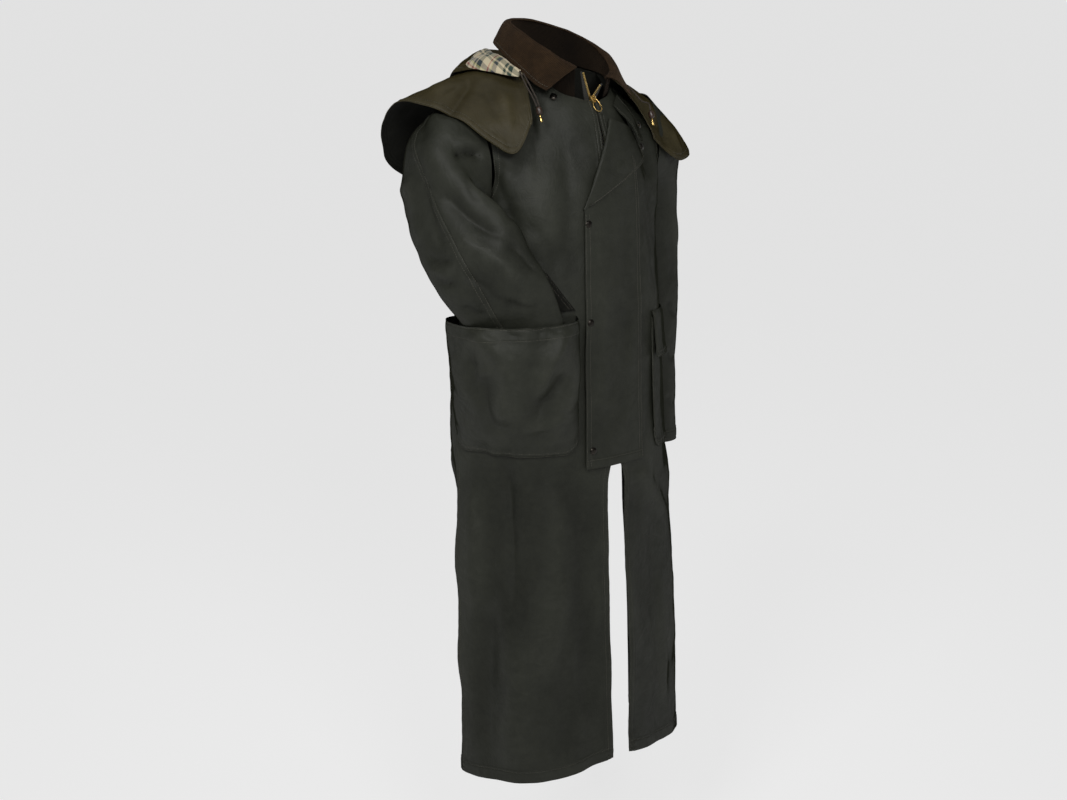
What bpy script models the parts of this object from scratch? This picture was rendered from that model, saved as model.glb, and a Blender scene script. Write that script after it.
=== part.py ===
"""Long waxed riding coat with shoulder cape, folded hood and zip front, in its worn form.

Metres, +Z up. The origin is the middle of the neck, level with its side points. The coat's
front faces -Y and the wearer's left is +X. Angles round the body start at the front middle
and grow towards the wearer's left.
"""
from math import cos, pi, radians, sin

import bpy
import bmesh
import numpy as np

# Cloth
WALL = 0.002
COLLAR_WALL = 0.0026
SEAM_GAP = 0.0004
SIDE_SEAM_RADIUS = 0.203
BACK_SEAM_RADIUS = 0.142
LAYER_GAP = 0.0012
SHARP_ANGLE = radians(40.0)

# Cells across and along each piece
FINE_GRID = (30, 40, 30)
FRONT_GRID = (11, 15, 6)
BACK_GRID = (8, 15, 6)
SLEEVE_GRID = (8, 11)
CAPE_GRID = (27, 5)
STAND_GRID = (18, 2)
LEAF_GRID = (18, 3)
HOOD_GRID = (16, 5)
LINING_GRID = (6, 5)
FLAP_GRID = (5, 12, 6)
POCKET_GRID = (12, 7)
POCKET_FLAP_GRID = {-1: (8, 3), 1: (10, 3)}
TAB_ROWS = 8
TAB_STRIPS = (-1.0, -0.33, 0.33, 1.0)
ZIP_ROWS = (10, 5)
WIRE_SIDES = 8
ROUND_SIDES = 12

# Points inside the coat that each wall faces away from
BODY_INSIDE = (0.0, 0.0, -0.4)
CAPE_INSIDE = (0.0, 0.0, -0.3)
COLLAR_INSIDE = (0.0, -0.01, 0.0)
HOOD_INSIDE = (0.0, 0.12, -0.1)
FRONT_INSIDE = (0.0, 0.3, -0.4)

# Body: hem to underarm
ROUND = 0.92
SIDE_SEAM = radians(98.0)
UNDERARM_Z = -0.225
HEM_Z = -1.232
# Hem rows: angle from the front in degrees, z
HEM = np.array([
    (0.0, -1.192), (14.0, -1.202), (32.0, -1.212), (60.0, -1.217), (95.0, -1.230), (180.0, -1.236),
])
ZIP_HALF_GAP = 0.0042
SLIT_TOP_Z = -0.62
SLIT_HALF = 0.019
SLIT_RUN = 0.07
VENT_TOP_Z = -0.47
VENT_RUN = 0.27
VENT_CURVE = 0.7
VENT_ANGLE = {-1: radians(113.0), 1: radians(110.0)}
# Body rows: z, half width, front depth, back depth, centre y
BODY = np.array([
    (-1.30, 0.220, 0.163, 0.158, -0.028),
    (-1.05, 0.216, 0.160, 0.154, -0.020),
    (-0.85, 0.211, 0.157, 0.152, -0.012),
    (-0.66, 0.207, 0.155, 0.147, -0.006),
    (-0.50, 0.203, 0.152, 0.142, 0.000),
    (-0.40, 0.198, 0.148, 0.138, 0.000),
    (-0.30, 0.190, 0.142, 0.132, 0.000),
    (-0.20, 0.185, 0.134, 0.124, 0.000),
])
# Fold rows: angle and half angle in degrees, top z, foot z, depth
FOLDS = (
    (-74.0, 9.0, -0.62, -1.12, -0.010),
    (-52.0, 13.0, -0.60, -1.30, 0.008),
    (-14.0, 7.0, -0.66, -1.30, -0.006),
    (30.0, 10.0, -0.62, -1.30, -0.008),
    (58.0, 12.0, -0.60, -1.30, 0.009),
    (84.0, 8.0, -0.70, -1.30, -0.010),
    (106.0, 7.0, -0.80, -1.30, 0.008),
    (-110.0, 8.0, -0.60, -1.30, -0.016),
    (140.0, 10.0, -0.24, -0.52, -0.006),
    (-140.0, 10.0, -0.24, -0.52, -0.006),
)
FOLD_FADE = 0.16

# Neck, shoulders and armholes
NECK_HALF_WIDTH = 0.084
NECK_FRONT = 0.090
NECK_BACK = 0.072
# Neck rows: angle from the front in degrees, z
NECK_LINE = np.array([(0.0, -0.042), (35.0, -0.026), (70.0, 0.002), (110.0, 0.014), (180.0, 0.020)])
SHOULDER_X = 0.200
SHOULDER_Z = -0.040
ARMHOLE_HALF_DEPTH = 0.074
ARMHOLE_PINCH = 0.014
NECK_SHARE = 0.42
SHOULDER_LEAN = (0.55, 0.65)
ARMHOLE_PULL_FROM = 0.35

# Sleeves: rings from below the armhole to the cuff
ARMHOLE_CLEAR = 0.0080
# Sleeve rows: centre x, y, z, half size outward and forward, yaw, rise and lift in degrees
SLEEVES = {
    -1: np.array([
        (-0.236, 0.014, -0.156, 0.084, 0.072, 4.0, 60.0, 0.0),
        (-0.246, -0.027, -0.212, 0.054, 0.086, 22.0, 28.0, 8.0),
        (-0.241, -0.068, -0.260, 0.048, 0.088, 38.0, 10.0, 18.0),
        (-0.231, -0.098, -0.305, 0.043, 0.082, 46.0, 2.0, 26.0),
        (-0.207, -0.113, -0.345, 0.034, 0.080, 46.0, -2.0, 28.0),
        (-0.178, -0.119, -0.392, 0.025, 0.074, 43.0, -4.0, 28.0),
        (-0.163, -0.129, -0.440, 0.020, 0.066, 42.0, -4.0, 26.0),
        (-0.156, -0.136, -0.480, 0.018, 0.058, 42.0, -4.0, 24.0),
    ]),
    1: np.array([
        (0.233, 0.028, -0.156, 0.072, 0.069, 0.0, 60.0, 0.0),
        (0.245, 0.046, -0.214, 0.050, 0.066, 0.0, 24.0, 0.0),
        (0.253, 0.056, -0.285, 0.049, 0.066, 0.0, 6.0, 0.0),
        (0.264, 0.060, -0.390, 0.048, 0.066, 0.0, 0.0, 0.0),
        (0.268, 0.060, -0.500, 0.047, 0.064, 0.0, 0.0, 0.0),
        (0.270, 0.058, -0.600, 0.045, 0.061, 0.0, 0.0, 0.0),
        (0.270, 0.054, -0.695, 0.043, 0.058, 0.0, 0.0, 0.0),
    ]),
}
SLEEVE_SEAMS = (radians(20.0), radians(198.0), radians(380.0))

# Cape: a rib for each row, from the right front edge round the back to the left front edge
CAPE_OUT = 0.010
CAPE_LIFT = 0.002
CAPE_FLARE = 0.35
# Cape rows: angle at the neck in degrees, hem x, y, z, crown height
CAPE = np.array([
    (-76.0, -0.128, -0.092, -0.066, 0.026),
    (-83.0, -0.166, -0.098, -0.114, 0.040),
    (-89.0, -0.199, -0.072, -0.098, 0.044),
    (-95.0, -0.228, -0.030, -0.064, 0.036),
    (-102.0, -0.258, 0.012, -0.044, 0.026),
    (-110.0, -0.284, 0.067, -0.038, 0.020),
    (-120.0, -0.279, 0.118, -0.072, 0.040),
    (-131.0, -0.264, 0.150, -0.112, 0.062),
    (-142.0, -0.226, 0.172, -0.160, 0.088),
    (-160.0, -0.124, 0.184, -0.200, 0.106),
    (-180.0, 0.000, 0.188, -0.210, 0.110),
    (-200.0, 0.124, 0.184, -0.204, 0.106),
    (-218.0, 0.222, 0.172, -0.192, 0.096),
    (-234.0, 0.286, 0.128, -0.168, 0.076),
    (-248.0, 0.312, 0.064, -0.150, 0.064),
    (-260.0, 0.302, 0.000, -0.136, 0.059),
    (-270.0, 0.264, -0.048, -0.142, 0.056),
    (-277.0, 0.214, -0.078, -0.136, 0.050),
    (-284.0, 0.156, -0.086, -0.092, 0.030),
])

# Collar: rows run from the right front end round the back to the left front end
COLLAR_BASE_LIFT = 0.003
COLLAR_FOLD_GAP = 0.0042
COLLAR_IN = -0.004
COLLAR_ROLL = (0.012, 0.006)
# Collar rows: angle in degrees, fold x, y, z, outer edge x, y, z
COLLAR = np.array([
    (-22.0, -0.036, -0.089, 0.016, -0.094, -0.086, -0.018),
    (-40.0, -0.056, -0.074, 0.030, -0.102, -0.062, -0.006),
    (-70.0, -0.077, -0.032, 0.058, -0.104, -0.020, 0.018),
    (-105.0, -0.079, 0.016, 0.080, -0.099, 0.030, 0.042),
    (-140.0, -0.058, 0.056, 0.093, -0.076, 0.076, 0.058),
    (-180.0, 0.000, 0.070, 0.090, 0.000, 0.096, 0.054),
    (-220.0, 0.050, 0.058, 0.080, 0.070, 0.077, 0.046),
    (-255.0, 0.074, 0.016, 0.064, 0.098, 0.030, 0.030),
    (-290.0, 0.076, -0.030, 0.040, 0.100, -0.022, 0.014),
    (-320.0, 0.060, -0.068, 0.016, 0.101, -0.060, -0.010),
    (-338.0, 0.032, -0.088, 0.000, 0.086, -0.088, -0.026),
])

# Hood, folded back: a cross-section for each row, in distance from the neck's axis and height
# Hood rows: angle in degrees, then distance and height of its inner edge, top, outer roll and tip
HOOD = np.array([
    (-70.0, 0.117, 0.012, 0.119, 0.020, 0.123, 0.020, 0.127, 0.014),
    (-95.0, 0.113, 0.024, 0.122, 0.042, 0.144, 0.040, 0.156, 0.026),
    (-124.0, 0.112, 0.030, 0.132, 0.044, 0.172, 0.036, 0.186, 0.012),
    (-150.0, 0.114, 0.028, 0.138, 0.040, 0.184, 0.024, 0.198, -0.020),
    (-180.0, 0.116, 0.026, 0.138, 0.036, 0.184, 0.012, 0.200, -0.056),
    (-210.0, 0.114, 0.024, 0.134, 0.032, 0.174, 0.014, 0.190, -0.030),
    (-234.0, 0.112, 0.024, 0.128, 0.030, 0.154, 0.024, 0.168, 0.013),
    (-260.0, 0.113, 0.021, 0.120, 0.027, 0.134, 0.026, 0.144, 0.020),
    (-284.0, 0.117, 0.012, 0.119, 0.018, 0.123, 0.018, 0.127, 0.013),
])
HOOD_LINING_SHARE = 0.30
LINING_WALL = 0.0012
LINING_OUT = 0.0039

# Storm flap, in places on the front cloth: x across, z up
FLAP_OUT = 0.0050
FLAP_FOOT_Z = -0.655
FLAP_FREE_X = (-0.064, -0.053)
FLAP_SEWN_X = (0.062, 0.070)
ROLL_FOOT = np.array([-0.053, -0.212])
ROLL_TOP = np.array([0.020, -0.070])
FLAP_TOP_SEWN = np.array([0.062, -0.078])
LAPEL_POINT = np.array([0.116, -0.126])
LAPEL_TOP = np.array([0.078, -0.084])
LAPEL_FOOT = np.array([-0.044, -0.206])
LAPEL_TURN = 0.70
ROLL_RADIUS = 0.0036
FLAP_WALL = 0.0018
LAPEL_SHARES = (0.0, 0.06, 0.34, 0.68, 1.0)

# Throat tab, in places on the front cloth
TAB_START = np.array([0.054, -0.037])
TAB_END = np.array([0.095, -0.102])
TAB_WIDTH = 0.034
TAB_OUT = (0.0040, 0.0165)
TAB_TIP_SHARE = 0.3
TAB_LIFT_RATE = 1.6

# Patch pockets and their flaps
POCKET_TOP_Z = {-1: -0.396, 1: -0.420}
POCKET_HEIGHT = 0.229
POCKET_ANGLES = {-1: (radians(20.5), radians(95.0)), 1: (radians(28.0), radians(95.0))}
POCKET_BULGE = {-1: 0.075, 1: 0.001}
POCKET_MOUTH_RISE = 0.008
POCKET_BAG_SHAPE = (0.86, 0.42, 2.4)
POCKET_FLAP_DROP = 0.082
POCKET_FLAP_HINGE = 0.010
POCKET_FLAP_STAND = (0.0066, 0.004)
POCKET_FLAP_UP = 0.066
POCKET_FLAP_SHEAR = radians(16.0)

# Zip
ZIP_TAPE = 0.013
ZIP_WALL = 0.0014
ZIP_FOOT_Z = -0.640
SLIDER_Z = -0.036
SLIDER_SIZE = (0.0095, 0.0046, 0.0125)
SLIDER_REACH = 0.01
SLIDER_TAPER = 0.36
BAIL_ROD = 0.0014
BAIL_SPAN = 0.0075
BAIL_RISE = 0.0048
PULL_WIRE = 0.0011
PULL_HALF_WIDTH = 0.0095
PULL_LENGTH = 0.0245
PULL_NARROW = 0.62
PULL_PIVOT = (0.0022, 0.0008)
BAIL_FOOT = 0.0010
ZIP_HALF_CHAIN = 0.0008
ZIP_BEHIND = 0.0052
ZIP_SPLIT_Z = -0.034
ZIP_FREE_HALF = 0.0022
ZIP_ENDS = {-1: (-0.0255, -0.0920, 0.012), 1: (0.0190, -0.0910, -0.008)}
ROD_SIDE = {True: np.array([0.0, -1.0, 0.3]), False: np.array([1.0, 0.0, 0.0])}

# Press studs
SNAP_RADIUS = 0.0064
SNAP_HEIGHT = 0.0030
# Profile steps: share of the radius, share of the height
SNAP_PROFILE = ((1.0, 0.0), (1.0, 0.35), (0.82, 0.5), (0.7, 0.8), (0.35, 1.0))
# Stud places: x, z, distance out of the front cloth
SNAPS = {
    "flap_top": (-0.0465, -0.236, 0.0074),
    "flap_middle": (-0.0490, -0.402, 0.0074),
    "flap_foot": (-0.0500, -0.624, 0.0074),
    "lapel": (0.085, -0.121, 0.0146),
    "throat_tab": (0.082, -0.088, 0.0196),
    "neck": (-0.066, -0.030, 0.0026),
}

# Hood drawcords
CORD_RADIUS = 0.0013
STOPPER_RADIUS = 0.0055
STOPPER_LENGTH = 0.0130
STOPPER_PROFILE = ((0.55, 0.0), (0.9, 0.15), (1.0, 0.5), (0.9, 0.85), (0.55, 1.0))
TIP_RADIUS = 0.0028
TIP_LENGTH = 0.0120
TIP_PROFILE = ((0.45, 0.0), (0.5, 0.3), (0.8, 0.45), (1.0, 0.9), (0.85, 1.0))
CORD_POINTS = 16
CORDS = {
    "right_near": [(-0.1205, -0.048, 0.014), (-0.1240, -0.060, 0.004), (-0.1250, -0.073, -0.010),
                   (-0.1235, -0.086, -0.026), (-0.1225, -0.0965, -0.041)],
    "right_far": [(-0.1160, -0.052, 0.010), (-0.1180, -0.066, -0.002), (-0.1180, -0.079, -0.016),
                  (-0.1178, -0.090, -0.030), (-0.1180, -0.0975, -0.041)],
    "left": [(0.1240, -0.046, 0.006), (0.1270, -0.062, -0.008), (0.1270, -0.078, -0.026),
             (0.1255, -0.092, -0.046), (0.1245, -0.099, -0.058)],
}
STOPPERS = {
    "right": ((-0.1203, -0.0978, -0.0418), (0.0, -0.34, -0.94)),
    "left": ((0.1245, -0.0994, -0.0588), (0.0, -0.30, -0.95)),
}


def ease(t):
    """Smooth step from 0 to 1."""
    t = np.clip(t, 0.0, 1.0)
    return t * t * (3.0 - 2.0 * t)


def spline(keys, values, at):
    """Smooth curve through a table's rows, read at any key."""
    keys = np.asarray(keys, float)
    values = np.asarray(values, float)
    slopes = np.gradient(values, keys, axis=0)
    at = np.clip(np.asarray(at, float), keys[0], keys[-1])
    i = np.clip(np.searchsorted(keys, at) - 1, 0, len(keys) - 2)
    width = keys[i + 1] - keys[i]
    t = (at - keys[i]) / width
    deep = np.shape(t) + (1,) * (values.ndim - 1)
    t = t.reshape(deep)
    width = width.reshape(deep)
    rise = (t ** 3 - 2 * t ** 2 + t) * slopes[i] * width + (t ** 3 - t ** 2) * slopes[i + 1] * width
    return values[i] + (3 * t ** 2 - 2 * t ** 3) * (values[i + 1] - values[i]) + rise


def folds(angle, z):
    """How far the large folds push the body cloth out."""
    out = np.zeros(np.broadcast(angle, z).shape)
    for middle, half, top, foot, depth in FOLDS:
        across = np.exp(-((np.degrees(angle) - middle) / half) ** 2)
        along = ease((top - z) / FOLD_FADE) * ease((z - foot) / FOLD_FADE + 1.0)
        out += depth * across * along
    return out


def body(angle, z, out=0.0):
    """Point of the worn body cloth, moved out by `out`."""
    angle, z = np.broadcast_arrays(np.asarray(angle, float), np.asarray(z, float))
    half_width, front, back, centre_y = np.moveaxis(spline(BODY[:, 0], BODY[:, 1:], z), -1, 0)
    s = np.sin(angle)
    c = np.cos(angle)
    off = out + folds(angle, z)
    x = half_width * np.sign(s) * np.abs(s) ** ROUND + off * s
    y = centre_y - np.where(c > 0, front, back) * np.sign(c) * np.abs(c) ** ROUND - off * c
    return np.stack([x, y, z], -1)


def angle_at_x(x, z):
    """Angle at which the front body cloth stands at a distance x from the middle."""
    half_width = spline(BODY[:, 0], BODY[:, 1], z)
    return np.arcsin(np.clip(x / half_width, 0.0, 1.0) ** (1.0 / ROUND))


def hem_z(angle):
    """Height of the hem: it is cut higher in front."""
    return spline(HEM[:, 0], HEM[:, 1], np.abs(np.degrees(angle)))


def front_edge(side, z):
    """Angle of a front's free edge: beside the zip above, swung open below."""
    opening = ZIP_HALF_GAP + (SLIT_HALF - ZIP_HALF_GAP) * ease((SLIT_TOP_Z - z) / SLIT_RUN)
    return side * angle_at_x(opening, z)


def vent_edge(side, z):
    """Angle of a back's inner edge: the middle seam above, the drawn-open vent below."""
    seam = pi - SEAM_GAP / BACK_SEAM_RADIUS
    return side * (seam - (seam - VENT_ANGLE[side]) * ease((VENT_TOP_Z - z) / VENT_RUN) ** VENT_CURVE)


def neck(angle, out=0.0, lift=0.0):
    """Point of the neckline."""
    angle = np.asarray(angle, float)
    s = np.sin(angle)
    c = np.cos(angle)
    x = (NECK_HALF_WIDTH + out) * s
    y = -(np.where(c > 0, NECK_FRONT, NECK_BACK) + out) * c
    from_front = np.abs(np.degrees(np.arctan2(s, c)))
    return np.stack([x, y, spline(NECK_LINE[:, 0], NECK_LINE[:, 1], from_front) + lift], -1)


def armhole(side, turn):
    """Point of an armhole, from the underarm (0) through the front to the shoulder (pi)."""
    under = body(np.array(side * SIDE_SEAM), np.array(UNDERARM_Z))
    rise = (1.0 - np.cos(turn)) / 2.0
    x = side * (abs(under[0]) + (SHOULDER_X - abs(under[0])) * rise - ARMHOLE_PINCH * np.abs(np.sin(turn)))
    y = under[1] - ARMHOLE_HALF_DEPTH * np.sin(turn)
    return np.stack([x, y, UNDERARM_Z + (SHOULDER_Z - UNDERARM_Z) * rise], -1)


def top_edge(side, s, middle_angle):
    """Neckline, then the shoulder seam out to the shoulder point."""
    seam_angle = side * pi / 2
    along_neck = neck(middle_angle + (seam_angle - middle_angle) * np.clip(s / NECK_SHARE, 0, 1))
    t = np.clip((s - NECK_SHARE) / (1 - NECK_SHARE), 0, 1)[..., None]
    return along_neck * (1 - t) + armhole(side, np.array(pi)) * t


def panel(side, edge, is_front, columns, rows_low, rows_high):
    """Grid of a front or back panel, from its middle edge (column 0) to side seam and armhole."""
    s = np.linspace(0.0, 1.0, columns + 1)[None, :]
    seam = side * (SIDE_SEAM - 0.5 * SEAM_GAP / SIDE_SEAM_RADIUS * (1 if is_front else -1))

    def low(t):
        first = edge(side, np.full_like(s, HEM_Z))
        foot = hem_z(first + (seam - first) * s)
        z = foot + (UNDERARM_Z - foot) * t
        start = edge(side, z)
        return body(start + (seam - start) * s, z)

    lower = low(np.linspace(0.0, 1.0, rows_low + 1)[:, None])
    base = lower[-1:]
    step = 0.01
    climb = (base - low(np.array([[1.0 - step]]))) / step
    climb = climb / np.linalg.norm(climb, axis=-1, keepdims=True)
    middle = edge(side, np.array(UNDERARM_Z))
    top = top_edge(side, s, middle)
    height = np.linalg.norm(top - base, axis=-1, keepdims=True)
    over = np.array([0.0, SHOULDER_LEAN[0] * (1 if is_front else -1), SHOULDER_LEAN[1]])
    t = np.linspace(0.0, 1.0, rows_high + 1)[1:, None, None]
    upper = (base + (3 * t ** 2 - 2 * t ** 3) * (top - base) + (t ** 3 - 2 * t ** 2 + t) * climb * height
             + (t ** 3 - t ** 2) * over * height)
    turn = pi * t[..., 0] if is_front else 2 * pi - pi * t[..., 0]
    pull = armhole(side, turn) - upper[:, -1:]
    upper = upper + pull * ease((s - ARMHOLE_PULL_FROM) / (1 - ARMHOLE_PULL_FROM))[..., None]
    back_off = 0.0 if is_front else SEAM_GAP
    upper[-1, :, 1] += back_off - 0.5 * SEAM_GAP
    return np.concatenate([lower, upper])


def ring_axes(side, yaw, rise, lift):
    """Directions of a sleeve ring: out from the body, and forward."""
    level_out = np.array([side * cos(yaw), -sin(yaw), 0.0])
    level_front = np.array([-side * sin(yaw), -cos(yaw), 0.0])
    up = np.array([0.0, 0.0, 1.0])
    return level_out * cos(rise) + up * sin(rise), level_front * cos(lift) + up * sin(lift)


def sleeve(side, turns, rows):
    """Grid of a sleeve's wall, from the armhole (row 0) to the cuff."""
    table = SLEEVES[side]
    middle = (armhole(side, np.array(0.0)) + armhole(side, np.array(pi))) / 2
    path = np.vstack([middle, table[:, :3]])
    rings = [armhole(side, turns) + np.array([side * ARMHOLE_CLEAR, 0.0, 0.0])]
    for row in table:
        out, front = ring_axes(side, *np.radians(row[5:]))
        rings.append(row[:3] - np.cos(turns)[:, None] * row[3] * out + np.sin(turns)[:, None] * row[4] * front)
    keys = np.concatenate([[0.0], np.cumsum(np.linalg.norm(np.diff(path, axis=0), axis=1))])
    return spline(keys, np.array(rings), np.linspace(0.0, keys[-1], rows + 1))


def bezier(a, b, c, t):
    """Quadratic curve from a to c, drawn towards b."""
    return a * (1 - t) ** 2 + b * 2 * t * (1 - t) + c * t ** 2


def cape(columns, rows):
    """Grid of the cape, from the neck (row 0) to its hem."""
    key = np.linspace(0.0, len(CAPE) - 1, columns + 1)
    ribs = spline(np.arange(len(CAPE)), CAPE, key)
    start = neck(np.radians(ribs[:, 0]), CAPE_OUT, CAPE_LIFT)
    hem = ribs[:, 1:4]
    crown = ribs[:, 4:5]
    pull = (start + hem) / 2 + crown * np.array([0.0, 0.0, 1.0]) + crown * CAPE_FLARE * unit_flat(hem)
    return bezier(start[None], pull[None], hem[None], np.linspace(0.0, 1.0, rows + 1)[:, None, None])


def unit_flat(points):
    """Level direction from the neck's axis to each point."""
    flat = points * np.array([1.0, 1.0, 0.0])
    return flat / np.linalg.norm(flat, axis=-1, keepdims=True)


def collar_rows(columns):
    """Neck, fold and edge points of the collar."""
    row = spline(np.arange(len(COLLAR)), COLLAR, np.linspace(0.0, len(COLLAR) - 1, columns + 1))
    return neck(np.radians(row[:, 0]), COLLAR_IN, COLLAR_BASE_LIFT), row[:, 1:4], row[:, 4:7]


def collar_stand(columns, rows):
    """Grid of the collar's standing part, from the neckline to the fold."""
    base, fold, _ = collar_rows(columns)
    return bezier(base[None], (base + fold)[None] / 2, fold[None], np.linspace(0, 1, rows + 1)[:, None, None])


def collar_leaf(columns, rows):
    """Grid of the collar's fall, from the fold to its outer edge."""
    _, fold, edge = collar_rows(columns)
    out = unit_flat(fold)
    start = fold + out * COLLAR_FOLD_GAP
    pull = fold + out * COLLAR_ROLL[0] + np.array([0.0, 0.0, COLLAR_ROLL[1]])
    return bezier(start[None], pull[None], edge[None], np.linspace(0, 1, rows + 1)[:, None, None])


def hood(first, last, columns, rows):
    """Grid of the folded hood: each row of points runs round the neck."""
    key = np.linspace(first, last, columns + 1) * (len(HOOD) - 1)
    row = spline(np.arange(len(HOOD)), HOOD, key)
    angle = np.radians(row[:, 0])
    profile = row[:, 1:].reshape(-1, 4, 2).transpose(1, 0, 2)
    profile = spline(np.arange(4), profile, np.linspace(0.0, 3.0, rows + 1))
    radius = profile[..., 0]
    return np.stack([radius * np.sin(angle), -radius * np.cos(angle), profile[..., 1]], -1)


class FrontCloth:
    """The two fronts as one surface, read at a place across (x) and up (z)."""

    def __init__(self):
        self.grids = {side: panel(side, front_edge, True, *FINE_GRID) for side in (-1, 1)}

    def depth(self, x, z):
        """y of the cloth at one place."""
        grid = self.grids[-1 if x < 0 else 1]
        across = [np.interp(z, grid[:, j, 2], np.abs(grid[:, j, 0])) for j in range(grid.shape[1])]
        depths = [np.interp(z, grid[:, j, 2], grid[:, j, 1]) for j in range(grid.shape[1])]
        return float(np.interp(abs(x), across, depths))

    def point(self, x, z, out=0.0):
        """A place on the cloth, moved out along its normal."""
        step = 0.004
        dx = (self.depth(x + step, z) - self.depth(x - step, z)) / (2 * step)
        dz = (self.depth(x, z + step) - self.depth(x, z - step)) / (2 * step)
        normal = np.array([dx, -1.0, dz])
        normal = normal / np.linalg.norm(normal)
        return np.array([x, self.depth(x, z), z]) + normal * out


def grid_faces(rows, columns):
    """Four-sided faces of a grid of points."""
    faces = []
    for r in range(rows - 1):
        for c in range(columns - 1):
            a = r * columns + c
            faces.append((a, a + 1, a + columns + 1, a + columns))
    return faces


def point_normals(points, faces):
    """Unit normal at each point, averaged over the faces round it."""
    normals = np.zeros_like(points)
    for face in faces:
        ring = points[list(face)]
        around = np.cross(ring, np.roll(ring, -1, axis=0)).sum(axis=0)
        for index in set(face):
            normals[index] += around
    return normals / np.linalg.norm(normals, axis=1, keepdims=True)


def rim_edges(faces):
    """Directed edges that belong to one face only."""
    edges = {(face[i - 1], face[i]) for face in faces for i in range(len(face)) if face[i - 1] != face[i]}
    return [edge for edge in edges if (edge[1], edge[0]) not in edges]


def add_mesh(name, points, faces, finish):
    """One closed mesh object."""
    mesh = bpy.data.meshes.new(name)
    mesh.from_pydata([tuple(map(float, p)) for p in points], [], faces)
    shape = bmesh.new()
    shape.from_mesh(mesh)
    bmesh.ops.recalc_face_normals(shape, faces=shape.faces)
    shape.to_mesh(mesh)
    shape.free()
    mesh.materials.append(finish)
    mesh.shade_smooth()
    mesh.set_sharp_from_angle(angle=SHARP_ANGLE)
    thing = bpy.data.objects.new(name, mesh)
    bpy.context.scene.collection.objects.link(thing)
    return thing


def thicken(name, points, faces, wall, inside, finish, out=0.0):
    """Closed cloth wall: its inner face is `out` off the points, on the side away from `inside`."""
    points = np.asarray(points, float).reshape(-1, 3)
    normals = point_normals(points, faces)
    if np.sum(normals * (points - np.asarray(inside))) < 0:
        normals = -normals
    count = len(points)
    walls = list(faces) + [tuple(count + i for i in reversed(face)) for face in faces]
    walls += [(b, a, a + count, b + count) for a, b in rim_edges(faces)]
    walls = [tuple(dict.fromkeys(face)) for face in walls]
    both = np.vstack([points + normals * out, points + normals * (out + wall)])
    return add_mesh(name, both, walls, finish)


def cloth(name, grid, finish, inside=BODY_INSIDE, wall=WALL, out=0.0):
    """Closed cloth wall on a grid of points."""
    return thicken(name, grid, grid_faces(*grid.shape[:2]), wall, inside, finish, out)


def finish(name, colour, roughness, metallic=0.0):
    """Plain material with the piece's colour."""
    made = bpy.data.materials.new(name)
    made.use_nodes = True
    shader = made.node_tree.nodes["Principled BSDF"]
    shader.inputs["Base Color"].default_value = (*colour, 1.0)
    shader.inputs["Roughness"].default_value = roughness
    shader.inputs["Metallic"].default_value = metallic
    return made


def build_panels(waxed):
    """Fronts and backs."""
    for side, name in ((-1, "right"), (1, "left")):
        cloth(f"front_{name}", panel(side, front_edge, True, *FRONT_GRID), waxed)
        cloth(f"back_{name}", panel(side, vent_edge, False, *BACK_GRID), waxed)


def build_sleeves(waxed):
    """Two pieces to each sleeve."""
    for side, name in ((-1, "right"), (1, "left")):
        for piece, first, last in (("front", 0, 1), ("back", 1, 2)):
            gap = SEAM_GAP / SLEEVES[side][-1, 3]
            turns = np.linspace(SLEEVE_SEAMS[first] + gap, SLEEVE_SEAMS[last] - gap, SLEEVE_GRID[0] + 1)
            grid = sleeve(side, turns, SLEEVE_GRID[1])
            cloth(f"sleeve_{name}_{piece}", grid, waxed, SLEEVES[side][3, :3])


def build_neck(waxed, corduroy, check):
    """Cape, collar and folded hood."""
    cloth("cape", cape(*CAPE_GRID), waxed, CAPE_INSIDE)
    cloth("collar_stand", collar_stand(*STAND_GRID), corduroy, COLLAR_INSIDE, COLLAR_WALL)
    cloth("collar_leaf", collar_leaf(*LEAF_GRID), corduroy, COLLAR_INSIDE, COLLAR_WALL)
    cloth("hood_shell", hood(0.0, 1.0, *HOOD_GRID), waxed, HOOD_INSIDE)
    lining = hood(0.0, HOOD_LINING_SHARE, *LINING_GRID)
    cloth("hood_lining", lining, check, HOOD_INSIDE, LINING_WALL, LINING_OUT)


def storm_flap_rows(rows_low, rows_roll):
    """Sewn end, free end and roll share of each row of the storm flap, from its foot upward."""
    rows = []
    for t in np.linspace(0.0, 1.0, rows_low + 1):
        z = FLAP_FOOT_Z + (ROLL_FOOT[1] - FLAP_FOOT_Z) * t
        sewn = np.array([FLAP_SEWN_X[0] + (FLAP_SEWN_X[1] - FLAP_SEWN_X[0]) * t, z])
        free = np.array([FLAP_FREE_X[0] + (FLAP_FREE_X[1] - FLAP_FREE_X[0]) * t, z])
        rows.append((sewn, free))
    for t in np.linspace(0.0, 1.0, rows_roll + 1)[1:]:
        sewn = rows[rows_low][0] * (1 - t) + FLAP_TOP_SEWN * t
        rows.append((sewn, ROLL_FOOT * (1 - t) + ROLL_TOP * t))
    return rows


def lapel_edge(t):
    """Outer edge of the folded lapel, from the foot of its roll to the top."""
    keys = (0.0, LAPEL_TURN, 1.0)
    return np.array([np.interp(t, keys, (LAPEL_FOOT[i], LAPEL_POINT[i], LAPEL_TOP[i])) for i in (0, 1)])


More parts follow.
